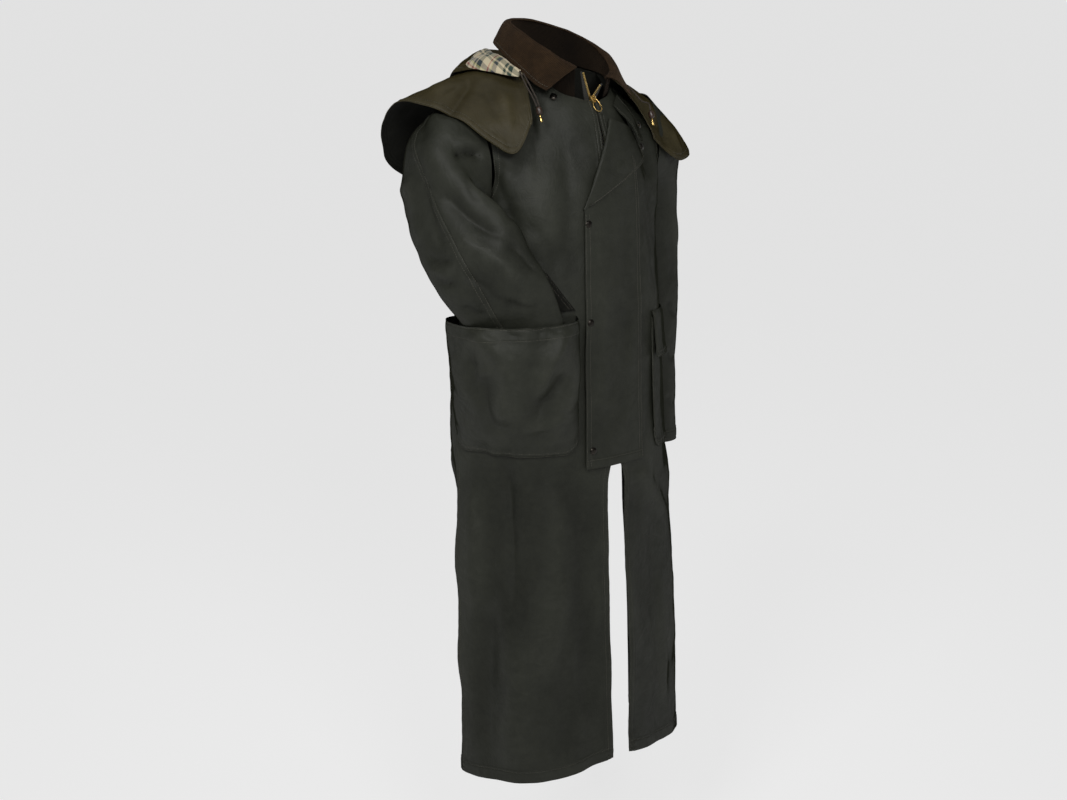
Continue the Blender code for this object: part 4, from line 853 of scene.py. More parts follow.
def collar_leaf(columns, rows):
    """Grid of the collar's fall, from the fold to its outer edge."""
    _, fold, edge = collar_rows(columns)
    out = unit_flat(fold)
    start = fold + out * COLLAR_FOLD_GAP
    pull = fold + out * COLLAR_ROLL[0] + np.array([0.0, 0.0, COLLAR_ROLL[1]])
    fall = bezier(start[None], pull[None], edge[None], rows[:, None, None])
    turn = np.linspace(0.0, pi, COLLAR_ROLL_CELLS, endpoint=False)[:, None, None]
    up = np.array([0.0, 0.0, 1.0])
    over = fold + out * COLLAR_FOLD_GAP / 2 * (1 - np.cos(turn)) + up * COLLAR_FOLD_GAP / 2 * np.sin(turn)
    return np.concatenate([over, fall])


def hood(first, last, columns, rows):
    """Grid of the folded hood: each row of points runs round the neck."""
    key = (first + (last - first) * columns) * (len(HOOD) - 1)
    row = spline(np.arange(len(HOOD)), HOOD, key)
    angle = np.radians(row[:, 0])
    profile = row[:, 1:].reshape(-1, 4, 2).transpose(1, 0, 2)
    profile = spline(np.arange(4), profile, 3.0 * rows)
    radius = profile[..., 0]
    return np.stack([radius * np.sin(angle), -radius * np.cos(angle), profile[..., 1]], -1)


def lapel_edge(t):
    """Outer edge of the folded lapel, from the foot of its roll to the top."""
    keys = (0.0, LAPEL_TURN, 1.0)
    return np.array([np.interp(t, keys, (LAPEL_FOOT[i], LAPEL_POINT[i], LAPEL_TOP[i])) for i in (0, 1)])


def pocket_places(side, columns, rows):
    """Share across, share down and angle of a pocket's grid."""
    s = columns[None, :]
    t = rows[:, None]
    first, last = POCKET_ANGLES[side]
    return s, t, side * (first + (last - first) * s)


def pocket(side, columns, rows):
    """Grid of a patch pocket: sewn at its sides and foot, bagging out at its mouth."""
    s, t, angle = pocket_places(side, columns, rows)
    lean, fullness, fall = POCKET_BAG_SHAPE
    bag = POCKET_BULGE[side] * np.sin(pi * s ** lean) ** fullness * (1.0 - t ** fall)
    from_edge = POCKET_WIDTH * np.minimum(s, 1.0 - s)
    short = POCKET_CORNER - np.sqrt(POCKET_CORNER ** 2 - np.maximum(0.0, POCKET_CORNER - from_edge) ** 2)
    z = POCKET_TOP_Z[side] - (POCKET_HEIGHT - short) * t + POCKET_MOUTH_RISE * (1 - s) * (1 - t)
    return body(angle, z, WALL + POCKET_LAY[side] + bag)


def pocket_flap_left(columns, rows):
    """Grid of the hanging flap: it stands off the pocket towards its foot."""
    s, t, angle = pocket_places(1, columns, rows)
    hinge = POCKET_FLAP_HINGE / POCKET_FLAP_DROP
    stand = POCKET_FLAP_STAND[0] * ease(t / hinge) + POCKET_FLAP_STAND[1] * t
    z = POCKET_TOP_Z[1] + POCKET_FLAP_HINGE + POCKET_MOUTH_RISE * (1 - s) - POCKET_FLAP_DROP * t
    return body(angle, z, WALL + LAYER_GAP + stand + 0 * s)


def pocket_flap_right(columns, rows):
    """Grid of the flap that stands up flat against the front."""
    s, t, angle = pocket_places(-1, columns, rows)
    shear = POCKET_FLAP_SHEAR * t * (1.0 - s)
    z = POCKET_TOP_Z[-1] + POCKET_FLAP_HINGE + POCKET_MOUTH_RISE * (1 - s) + POCKET_FLAP_UP * t
    return body(angle - shear, z, WALL + LAYER_GAP + POCKET_FLAP_STAND_UP * ease(t))


def smooth_route(route, count):
    """Evenly spaced points on a smooth curve through a route."""
    route = np.asarray(route, float)
    keys = run_lengths(route)
    return spline(keys, route, np.linspace(0.0, keys[-1], count))


def spread(length, first=0.0, last=0.0, cell=CELL):
    """Shares along an edge of a length: even cells, and finer ones in the sewn bands at its ends."""
    cells = max(2, int(round((length - first - last) / cell)))
    marks = [np.linspace(first, length - last, cells + 1)]
    marks.append(np.linspace(0.0, first, int(round(first / FINE_CELL)) + 1)[:-1])
    marks.append(length - np.linspace(0.0, last, int(round(last / FINE_CELL)) + 1)[:-1])
    return np.unique(np.round(np.concatenate(marks), 7)) / length


def shares(edge):
    """Shares along a named edge of a grid."""
    return spread(*CELLS[edge])


class FrontCloth:
    """The two fronts as one surface, read at places across (x) and up (z)."""

    def __init__(self):
        self.x = np.linspace(*FRONT_X)
        self.z = np.linspace(*FRONT_Z)
        even = np.linspace(0.0, 1.0, FRONT_CELLS)
        grids = {side: panel(side, front_edge, True, even, even, even) for side in (-1, 1)}
        self.table = np.array([self.row(grids, z) for z in self.z])

    def row(self, grids, z):
        """y of the cloth across the front at one height."""
        depths = []
        for side in (-1, 1):
            grid = grids[side]
            across = [np.interp(z, g[:, 2], np.abs(g[:, 0])) for g in np.moveaxis(grid, 1, 0)]
            deep = [np.interp(z, g[:, 2], g[:, 1]) for g in np.moveaxis(grid, 1, 0)]
            part_x = self.x[self.x < 0] if side < 0 else self.x[self.x >= 0]
            depths.append(np.interp(np.abs(part_x), across, deep))
        return np.concatenate(depths)

    def depth(self, x, z):
        """y of the cloth at places."""
        i = np.clip(np.searchsorted(self.x, x) - 1, 0, len(self.x) - 2)
        j = np.clip(np.searchsorted(self.z, z) - 1, 0, len(self.z) - 2)
        a = (x - self.x[i]) / (self.x[1] - self.x[0])
        b = (z - self.z[j]) / (self.z[1] - self.z[0])
        low = self.table[j, i] * (1 - a) + self.table[j, i + 1] * a
        high = self.table[j + 1, i] * (1 - a) + self.table[j + 1, i + 1] * a
        return low * (1 - b) + high * b

    def point(self, x, z, out=0.0):
        """Places on the cloth, moved out along its normal."""
        x, z, out = np.broadcast_arrays(np.asarray(x, float), np.asarray(z, float), np.asarray(out, float))
        step = FRONT_STEP
        dx = (self.depth(x + step, z) - self.depth(x - step, z)) / (2 * step)
        dz = (self.depth(x, z + step) - self.depth(x, z - step)) / (2 * step)
        normal = unit(np.stack([dx, -np.ones_like(dx), dz], -1))
        return np.stack([x, self.depth(x, z), z], -1) + normal * out[..., None]


def camera_axes():
    """Right, up and forward directions of the photograph's camera."""
    right = np.array([cos(CAMERA_TURN), sin(CAMERA_TURN), 0.0])
    level = np.array([-sin(CAMERA_TURN), cos(CAMERA_TURN), 0.0])
    ahead = level * cos(CAMERA_PITCH) - np.array([0.0, 0.0, sin(CAMERA_PITCH)])
    return right, np.cross(right, ahead), ahead


def photo_places(points):
    """Where points of the coat stand in the photograph, in its pixels."""
    right, up, ahead = camera_axes()
    off = points - CAMERA_PLACE
    depth = off @ ahead
    across = IMAGE[0] / 2 + FOCAL_PX * (off @ right) / depth
    down = IMAGE[1] / 2 - FOCAL_PX * (off @ up) / depth
    return np.stack([across, down], -1)


def crease(places, path, left, right, depth):
    """Height of one crease at places: it fades at both ends and has a width to each side."""
    path = smooth_route(path, CREASE_POINTS)
    best = np.full(len(places), np.inf)
    side = np.zeros(len(places))
    along = np.zeros(len(places))
    for i, (a, b) in enumerate(zip(path[:-1], path[1:])):
        run = b - a
        off = places - a
        t = np.clip(off @ run / (run @ run), 0.0, 1.0)
        far = np.linalg.norm(off - t[:, None] * run, axis=1)
        near = far < best
        best = np.where(near, far, best)
        side = np.where(near, run[0] * off[:, 1] - run[1] * off[:, 0], side)
        along = np.where(near, (i + t) / (len(path) - 1), along)
    share = best / np.where(side > 0, right, left)
    shape = np.exp(-CREASE_FALL * (np.sqrt(share ** 2 + CREASE_ROUND ** 2) - CREASE_ROUND))
    return depth * shape * ease(along / CREASE_FADE) * ease((1.0 - along) / CREASE_FADE)


def lie(points):
    """Small uneven waves of worn cloth, the same on layers that lie together."""
    random = np.random.default_rng(LIE_SEED)
    out = np.zeros(len(points))
    for length, depth in LIE:
        for _ in range(LIE_WAVES):
            way = random.normal(size=3) * np.array(LIE_WAY)
            way = way / np.linalg.norm(way) * 2 * pi / (length * random.uniform(*LIE_LENGTHS))
            out += depth / LIE_WAVES ** 0.5 * np.sin(points @ way + random.uniform(0.0, 2 * pi))
    return out


def point_normals(points, faces):
    """Unit normal at each point, averaged over the faces round it."""
    ring = points[faces]
    around = np.cross(ring[:, 2] - ring[:, 0], ring[:, 3] - ring[:, 1])
    normals = np.zeros_like(points)
    for corner in range(4):
        np.add.at(normals, faces[:, corner], around)
    return normals / np.maximum(np.linalg.norm(normals, axis=1, keepdims=True), TINY)


def settle(points):
    """Points of the unevenly settled coat: lower and closer on its left."""
    x, y, z = np.moveaxis(points, -1, 0)
    drop = np.interp(x, *SETTLE.T) * ease((z - SETTLE_Z[0]) / SETTLE_Z[1])
    depth, first, run, middle, half = TUCK
    tuck = depth * ease((x - first) / run) * np.exp(-((z - middle) / half) ** 2)
    return np.stack([x - tuck, y, z - drop], -1)


class Cloth:
    """One cut piece as a thin shell on its solid's form, with its creases and sewn edges."""

    def __init__(self, name, grid, groups=(), inside=BODY_INSIDE, out=0.0, wall=WALL, edges=(), cells=None,
                 lie_share=1.0):
        self.name = name
        self.edges = edges
        grid = grid if name in UNSETTLED else settle(grid)
        rows, columns = grid.shape[:2]
        self.shape = (rows, columns)
        cells = np.ones((rows - 1, columns - 1), bool) if cells is None else cells
        corner = np.arange(rows * columns).reshape(rows, columns)
        quads = np.stack([corner[:-1, :-1], corner[:-1, 1:], corner[1:, 1:], corner[1:, :-1]], -1)
        self.faces = quads[cells]
        points = grid.reshape(-1, 3)
        normals = point_normals(points, self.faces)
        self.turn = 1.0
        if np.sum(normals * (points - np.asarray(inside))) < 0:
            normals = -normals
            self.turn = -1.0
        self.measure(grid)
        rise = self.rise(points + normals * (out + wall / 2), normals, groups, lie_share)
        rise = rise + self.sewn()
        self.lift = rise
        moved = points + normals * rise[:, None]
        self.normals = point_normals(moved, self.faces) * self.turn
        self.outer = moved + self.normals * (out + wall)
        self.inner = moved + self.normals * (out + wall - SHELL)

    def measure(self, grid):
        """Distances along the rows and columns, from each of the four edges."""
        across = np.linalg.norm(np.diff(grid, axis=1), axis=-1)
        down = np.linalg.norm(np.diff(grid, axis=0), axis=-1)
        self.u = np.concatenate([np.zeros((grid.shape[0], 1)), np.cumsum(across, axis=1)], axis=1)
        self.v = np.concatenate([np.zeros((1, grid.shape[1])), np.cumsum(down, axis=0)], axis=0)
        self.reach = {
            "first_column": self.u, "last_column": self.u[:, -1:] - self.u,
            "first_row": self.v, "last_row": self.v[-1:] - self.v,
        }

    def rise(self, places, normals, groups, lie_share):
        """Height of the creases and the uneven lie."""
        out = lie(places) * lie_share
        start, slope = CREASE_SEEN
        seen = ease(start - normals @ camera_axes()[2] * slope)
        spots = photo_places(places)
        for group in groups:
            for path, left, right, depth in CREASES.get(group, ()):
                out = out + crease(spots, path, left, right, depth * CREASE_DEEPEN) * seen
            for path, left, right, depth in HIDDEN_CREASES.get(group, ()):
                out = out + crease(places, path, left, right, depth)
        return out

    def sewn(self):
        """Height of doubled edges with their stitch grooves and puckers."""
        out = np.zeros(self.shape)
        turn, rate = PUCKER_DRIFT
        for edge, width, lines in self.edges:
            reach = self.reach[edge]
            along = self.v if "column" in edge else self.u
            band = 1.0 - ease((reach - width) / HEM_STEP)
            wave = np.sin(2 * pi * along / PUCKER_LENGTH + turn * np.sin(along * rate))
            out = np.maximum(out, HEM_RISE * band)
            for line in lines:
                out = out - GROOVE * np.exp(-((reach - line) / GROOVE_HALF) ** 2)
            out = out + PUCKER * wave * np.exp(-((reach - width) / (PUCKER_REACH * width)) ** 2)
        return out.reshape(-1)

    def line(self, edge, distance):
        """Points and normals of a line at a distance from one edge."""
        reach = self.reach[edge]
        outer = self.outer.reshape(*self.shape, 3)
        normals = self.normals.reshape(*self.shape, 3)
        if "row" in edge:
            reach, outer, normals = reach.T, outer.transpose(1, 0, 2), normals.transpose(1, 0, 2)
        if edge.startswith("last"):
            reach, outer, normals = reach[:, ::-1], outer[:, ::-1], normals[:, ::-1]
        spots = [[np.interp(distance, r, p[:, k]) for k in range(3)] for r, p in zip(reach, outer)]
        ways = [[np.interp(distance, r, n[:, k]) for k in range(3)] for r, n in zip(reach, normals)]
        return np.array(spots), np.array(ways)

    def make(self, finish, lining=None):
        """The mesh object: outer face, inner face and rims."""
        count = len(self.outer)
        outer = self.faces if self.turn > 0 else self.faces[:, ::-1]
        sides = np.concatenate([outer[:, [i, (i + 1) % 4]] for i in range(4)])
        key = np.sort(sides, axis=1) @ np.array([count, 1])
        _, index, times = np.unique(key, return_index=True, return_counts=True)
        rim = sides[index[times == 1]]
        rims = np.stack([rim[:, 1], rim[:, 0], rim[:, 0] + count, rim[:, 1] + count], -1)
        faces = np.concatenate([outer, outer[:, ::-1] + count, rims])
        used = np.unique(faces)
        renumber = np.zeros(2 * count, int)
        renumber[used] = np.arange(len(used))
        points = np.concatenate([self.outer, self.inner])[used]
        uv = np.stack([self.u, self.v], -1).reshape(-1, 2)
        uv = np.concatenate([uv, uv])[used]
        lift = np.concatenate([self.lift, self.lift])[used]
        thing = mesh_object(self.name, points, renumber[faces], [finish, lining or finish], uv, lift)
        index = np.zeros(len(faces), np.int32)
        index[len(outer):2 * len(outer)] = 1
        thing.data.polygons.foreach_set("material_index", index)
        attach(thing, "coat")
        self.thing = thing

    def cut(self):
        """Width, length and area of the flat cut."""
        ring = self.outer[self.faces]
        area = np.linalg.norm(np.cross(ring[:, 2] - ring[:, 0], ring[:, 3] - ring[:, 1]), axis=1).sum() / 2
        width = self.u[:, -1].max()
        length = self.v[-1].max()
        return (float(width), float(length)), float(min(area, width * length))


def mesh_object(name, points, faces, finishes, uv=None, lift=None):
    """A mesh object from arrays."""
    mesh = bpy.data.meshes.new(name)
    mesh.vertices.add(len(points))
    mesh.vertices.foreach_set("co", np.asarray(points, np.float32).ravel())
    wide = faces.shape[1]
    mesh.loops.add(faces.size)
    mesh.loops.foreach_set("vertex_index", faces.astype(np.int32).ravel())
    mesh.polygons.add(len(faces))
    mesh.polygons.foreach_set("loop_start", np.arange(0, faces.size, wide, dtype=np.int32))
    mesh.polygons.foreach_set("loop_total", np.full(len(faces), wide, np.int32))
    mesh.update(calc_edges=True)
    if uv is not None:
        layer = mesh.uv_layers.new(name="cloth")
        layer.data.foreach_set("uv", uv[faces.ravel()].astype(np.float32).ravel())
    if lift is not None:
        spread_lift = mesh.attributes.new("crease", "FLOAT", "POINT")
        spread_lift.data.foreach_set("value", np.clip(lift / RIDGE_FULL, -1.0, 1.0).astype(np.float32))
    for finish in finishes:
        mesh.materials.append(finish)
    mesh.shade_smooth()
    mesh.set_sharp_from_angle(angle=SHARP_ANGLE)
    thing = bpy.data.objects.new(name, mesh)
    bpy.context.scene.collection.objects.link(thing)
    return thing


STITCHES = []


def sew(cloth, finishes, node, unsewn=()):
    """Make a cloth piece, keep its stitch lines, work out its flat cut and hide the solid of the node it
    stands for.
    """
    cloth.make(*finishes)
    for edge, _, distances in cloth.edges:
        for distance in distances:
            if (edge, distance) not in unsewn:
                STITCHES.append(cloth.line(edge, distance))
    flat, area = cloth.cut()
    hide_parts(node)


def prisms(name, rings, finish):
    """Small closed bars, each a row of rings of four points."""
    count, levels = rings.shape[:2]
    quads = [[r * 4 + c, r * 4 + (c + 1) % 4, (r + 1) * 4 + (c + 1) % 4, (r + 1) * 4 + c]
             for r in range(levels - 1) for c in range(4)]
    last = (levels - 1) * 4
    quads += [[3, 2, 1, 0], [last, last + 1, last + 2, last + 3]]
    faces = np.arange(count)[:, None, None] * levels * 4 + np.array(quads)
    thing = mesh_object(name, rings.reshape(-1, 3), faces.reshape(-1, 4), [finish])
    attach(thing, "coat")


def build_stitches(thread):
    """Every stitch as a small rounded bar."""
    bars = []
    steps, full = np.array(STITCH_RINGS).T
    full = full[None, :, None]
    for points, ways in STITCHES:
        keys = run_lengths(points)
        starts = np.arange(STITCH_PITCH, keys[-1] - STITCH_PITCH, STITCH_PITCH)
        at = starts[:, None] + steps * STITCH_LENGTH
        place = read_line(at, keys, points)
        way = read_line(at, keys, ways)
        across = np.cross(place[:, -1:] - place[:, :1], way)
        across = across / np.maximum(np.linalg.norm(across, axis=-1, keepdims=True), TINY)
        side = across * STITCH_WIDE / 2 * full
        top = way * STITCH_HIGH * full
        foot = way * STITCH_HIGH * STITCH_SUNK
        corners = [place - side + foot, place + side + foot, place + side + top, place - side + top]
        bars.append(np.stack(corners, 2))
    prisms("stitching", np.concatenate(bars), thread)


class Finish:
    """A procedural material: nodes are added by kind, with their settings and links."""

    def __init__(self, name):
        self.made = bpy.data.materials.new(name)
        self.made.use_nodes = True
        self.tree = self.made.node_tree
        self.shader = self.tree.nodes["Principled BSDF"]
        self.shades = [colour(*shade) for shade in COLOURS.get(name, ())]

    def node(self, kind, inputs, **settings):
        """Add a node. An input is a value, or the output of another node."""
        made = self.tree.nodes.new("ShaderNode" + kind)
        for key, value in settings.items():
            setattr(made, key, value)
        for key, value in inputs.items():
            self.put(made, key, value)
        return made

    def put(self, made, key, value):
        """Set or link one input."""
        if isinstance(value, bpy.types.NodeSocket):
            self.tree.links.new(value, made.inputs[key])
        else:
            made.inputs[key].default_value = value

    def set(self, **inputs):
        """Set or link inputs of the shader, with _ for a space in their names."""
        for key, value in inputs.items():
            self.put(self.shader, key.replace("_", " "), value)

    def place(self, kind="Object"):
        """Coordinates on the piece."""
        return self.node("TexCoord", {}).outputs[kind]

    def noise(self, name):
        """Noise from 0 to 1."""
        settings = zip(("Scale", "Detail", "Roughness", "Distortion"), NOISES[name])
        return self.node("TexNoise", {"Vector": self.place(), **dict(settings)}).outputs["Fac"]

    def wave(self, kind, rib, way, settings):
        """Stripes of a width, from 0 to 1."""
        inputs = {"Vector": self.place(kind), "Scale": WAVE_TURN / rib, **settings}
        return self.node("TexWave", inputs, bands_direction=way).outputs["Fac"]

    def between(self, value, low, high, to_low=0.0, to_high=1.0):
        """A range of a value mapped to another range, and held at its ends."""
        inputs = {"Value": value, "From Min": low, "From Max": high, "To Min": to_low, "To Max": to_high}
        return self.node("MapRange", inputs).outputs["Result"]

    def ranged(self, value, name):
        """A value mapped by a named range."""
        return self.between(value, *RANGES[name])

    def sums(self, kind, first, second=0.0):
        """One step of arithmetic."""
        return self.node("Math", {0: first, 1: second}, operation=kind).outputs[0]

    def mix(self, share, first, second):
        """Mix of two colours."""
        return self.node("Mix", {0: share, 6: first, 7: second}, data_type="RGBA").outputs[2]

    def bump(self, height, name, after=None):
        """Bumps, on top of others."""
        strength, distance = BUMPS[name]
        inputs = {"Height": height, "Strength": strength, "Distance": distance}
        if after is not None:
            inputs["Normal"] = after
        return self.node("Bump", inputs).outputs["Normal"]


def colour(red, green, blue):
    """Colour with full cover."""
    return (red, green, blue, 1.0)


def waxed_finish(name):
    """Waxed cotton: mottled, fine-grained, with a soft sheen, pale worn ridges, painted light on crease
    ridges and painted shade in crease troughs.
    """
    f = Finish(name)
    dark, light, worn = f.shades
    streak = f.noise("wax_streak")
    # Signed crease height: drives the painted light and shade of the creases and the real wear on ridges
    crease_shade_and_wear = f.node("Attribute", {}, attribute_name="crease").outputs["Fac"]
    fine = f.ranged(f.noise("wax_fine"), "wax_fine")
    share = f.sums("ADD", f.ranged(f.noise("wax_broad"), "wax_broad"), fine)
    # Painted light and shade: crease ridges lighter, crease troughs darker
    share = f.sums("ADD", share, f.sums("MULTIPLY", crease_shade_and_wear, PAINTED_CREASE_LIGHT_SHADE))
    tint = f.mix(f.ranged(share, "whole"), dark, light)
    rubbed = f.sums("MULTIPLY", f.ranged(crease_shade_and_wear, "worn_ridge"), f.ranged(streak, "worn_streak"))
    f.set(Base_Color=f.mix(f.sums("MULTIPLY", rubbed, WORN_SHARE), tint, worn))
    facing = f.node("LayerWeight", {"Blend": EVEN_BLEND}).outputs["Facing"]
    f.set(Roughness=f.ranged(streak, "wax_rough"), Specular_IOR_Level=f.ranged(facing, "wax_gloss"))
    crinkle = f.sums("ABSOLUTE", f.sums("SUBTRACT", f.noise("wax_crinkle"), NOISE_MIDDLE))
    shape = f.bump(crinkle, "wax_crinkle")
    shape = f.bump(streak, "wax_streak", shape)
    f.set(Normal=f.bump(f.noise("wax_weave"), "wax_weave", shape))
    return f.made


def corduroy_finish(name):
    """Corduroy: ribs down from the neck, napped, with painted shade darkening the furrows."""
    f = Finish(name)
    ribs = f.wave("UV", CORD_RIB, "X", CORD_WAVER)
    # Painted shade: the furrows between the ribs are coloured darker
    share = f.sums("MULTIPLY", f.ranged(ribs, "rib"), f.ranged(f.noise("nap"), "nap"))
    share = f.sums("MULTIPLY", share, f.ranged(f.noise("nap_broad"), "nap_broad"))
    f.set(Base_Color=f.mix(share, *f.shades))
    f.set(Roughness=0.9, Specular_IOR_Level=0.12, Sheen_Weight=0.08, Sheen_Tint=colour(*NAP_SHEEN))
    f.set(Normal=f.bump(f.noise("pile"), "pile", f.bump(ribs, "rib")))
    return f.made


def stripes(f, along):
    """The check's bands of colour, repeating along a coordinate."""
    share = f.sums("FRACT", f.sums("DIVIDE", along, CHECK_PERIOD))
    ramp = f.node("ValToRGB", {"Fac": share})
    ramp.color_ramp.interpolation = "CONSTANT"
    points = ramp.color_ramp.elements
    while len(points) < len(CHECK_BANDS):
        points.new(1.0)
    for point, (start, shade) in zip(points, CHECK_BANDS):
        point.position = start
        point.color = colour(*shade)
    return ramp.outputs["Color"]


def check_finish():
    """Checked cotton lining: the same bands crossing in warp and weft."""
    f = Finish("checked_lining")
    axes = f.node("SeparateXYZ", {"Vector": f.place("UV")}).outputs
    twill = f.wave("UV", CHECK_TWILL, "DIAGONAL", {})
    f.set(Base_Color=f.mix(f.ranged(twill, "twill"), stripes(f, axes["X"]), stripes(f, axes["Y"])))
    f.set(Roughness=0.9, Sheen_Weight=0.15)
    f.set(Normal=f.bump(f.noise("check_lie"), "check_lie", f.bump(twill, "twill")))
    return f.made


def inside_finish():
    """Plain dark cotton on the inner face of the cloth."""
    f = Finish("inner_cotton")
    f.set(Base_Color=f.mix(f.noise("inner_nap"), *f.shades), Roughness=0.9, Specular_IOR_Level=0.1)
    f.set(Normal=f.bump(f.noise("inner_weave"), "inner_weave"))
    return f.made


def metal_finish(name):
    """Metal with slight tarnish and fine scratches."""
    f = Finish(name)
    dark, light = f.shades
    rough = METAL_ROUGHNESS[name]
    f.set(Base_Color=f.mix(f.ranged(f.noise("tarnish"), "tarnish"), light, dark), Metallic=1.0)
    f.set(Roughness=f.between(f.noise("polish"), *RANGES["polish"], rough, rough + METAL_VARIES))
    f.set(Normal=f.bump(f.noise("scratch"), "scratch"))
    return f.made


def woven_finish(name):
    """Braid, tape or thread: narrow ribs."""
    f = Finish(name)
    ribs = f.wave("Object", WOVEN_RIB[name], "DIAGONAL", WOVEN_WAVER)
    f.set(Base_Color=f.mix(ribs, *f.shades), Roughness=0.85, Normal=f.bump(ribs, "thread"))
    return f.made


def leather_finish():
    """Dark polished leather of the cord stoppers."""
    f = Finish("stopper_leather")
    grain = f.node("TexVoronoi", {"Vector": f.place(), "Scale": LEATHER_GRAIN}).outputs["Distance"]
    f.set(Base_Color=f.mix(f.noise("leather"), *f.shades), Roughness=0.38, Normal=f.bump(grain, "leather"))
    return f.made


def floor_finish():
    """Pale matt paper that glows less close in front of the coat."""
    f = Finish("pale_floor")
    f.set(Base_Color=f.mix(f.noise("paper"), *f.shades), Roughness=0.95, Specular_IOR_Level=0.1)
    level = (-sin(CAMERA_TURN), cos(CAMERA_TURN), 0.0)
    behind = f.node("VectorMath", {0: f.place(), 1: level}, operation="DOT_PRODUCT").outputs["Value"]
    away = f.node("VectorMath", {0: f.place()}, operation="LENGTH").outputs["Value"]
    glow = f.sums("MAXIMUM", f.between(behind, *FLOOR_GLOW_RUN, *FLOOR_GLOW),
                  f.between(away, *FLOOR_GLOW_FAR, *FLOOR_GLOW))
    f.set(Emission_Color=colour(*WHITE), Emission_Strength=glow)
    return f.made


def build_panels(waxed, lining):
    """Fronts and backs, with hems, faced edges and the seams' stitching."""
    low = shares("panel_low")
    high = shares("panel_high")
    for side, name in SIDES:
        for piece, edge, other in (("front", front_edge, "back"), ("back", vent_edge, "front")):
            grid = panel(side, edge, piece == "front", shares(f"{piece}_across"), low, high)
            cloth = Cloth(f"cloth_{piece}_{name}", grid, ("body",), edges=EDGES[piece])
            sew(cloth, (waxed, lining), f"{piece}_{name}")


def build_sleeves(waxed, lining):
    """Two pieces to each sleeve, joined by a felled seam."""
    rows = shares("sleeve_down")
    across = shares("sleeve_across")
    inner_first, inner_last = (np.full_like(rows, seam) for seam in SLEEVE_SEAMS)
    for side, name in SIDES:
        outer = np.radians(spline(*SLEEVE_SEAM_LINE[side].T, rows))
        inside = SLEEVES[side][SLEEVE_MIDDLE, :3]
        for piece, first, last in (("front", inner_first, outer), ("back", outer, inner_last)):
            turns = first[:, None] + (last + SLEEVE_LAP - first)[:, None] * across
            grid = np.concatenate([sleeve(side, turn, np.array([row])) for turn, row in zip(turns, rows)])
            cloth = Cloth(f"cloth_sleeve_{name}_{piece}", grid, (f"sleeve_{name}",), inside,
                          edges=EDGES[f"sleeve_{piece}"], lie_share=LIE_SHARE["sleeve"])
            sew(cloth, (waxed, lining), f"sleeve_{name}_{piece}")


def build_cape(top_lit_waxed, lining):
    """Shoulder cape, its far front edge laid back, in the waxed cotton with painted top light."""
    columns = shares("cape_across")
    first, shift_x, shift_y = CAPE_LAY
    laid = ease((columns - first) / (1.0 - first))[None, :, None] * np.array([shift_x, shift_y, 0.0])
    cloth = Cloth("cloth_cape", cape(columns, shares("cape_down")) + laid, ("cape",), CAPE_INSIDE,
                  edges=EDGES["cape"], lie_share=LIE_SHARE["cape"])
    sew(cloth, (top_lit_waxed, lining), "cape",
        UNSEWN["cape"])


def build_collar(outer, inner):
    """Corduroy collar: the stand, then the leaf folded over it."""
    around = shares("collar_across")
    stand = Cloth("cloth_collar_stand", collar_stand(around, shares("stand_up")), (), COLLAR_INSIDE,
                  wall=COLLAR_WALL, lie_share=LIE_SHARE["collar_stand"])
    sew(stand, (inner,), "collar_stand")
    leaf = Cloth("cloth_collar_leaf", collar_leaf(around, shares("leaf_down")), (), COLLAR_INSIDE,
                 wall=COLLAR_WALL, edges=EDGES["collar_leaf"], lie_share=LIE_SHARE["collar_leaf"])
    sew(leaf, (outer,), "collar_leaf")


def build_hood(top_lit_waxed, lining, check):
    """Folded hood in the waxed cotton with painted top light, and its checked lining where it shows,
    narrowing to its far end.
    """
    grid = hood(0.0, 1.0, shares("hood_across"), shares("hood_down"))
    shell = Cloth("cloth_hood_shell", grid, ("hood",), HOOD_INSIDE, edges=EDGES["hood"],
                  lie_share=LIE_SHARE["hood"])
    sew(shell, (top_lit_waxed, lining), "hood_shell")
    along = shares("lining_across")
    across = shares("lining_down")
    start, left_over = LINING_NARROWS
    widths = 1.0 - (1.0 - left_over) * ease((along - start) / (1.0 - start))
    grid = np.concatenate([hood(0.0, HOOD_LINING_SHARE, along[i:i + 1], across * wide)
                           for i, wide in enumerate(widths)], axis=1)
    inner = Cloth("cloth_hood_lining", grid, ("hood",), HOOD_INSIDE, LINING_OUT, LINING_WALL,
                  lie_share=LIE_SHARE["hood"])
    sew(inner, (check,), "hood_lining")


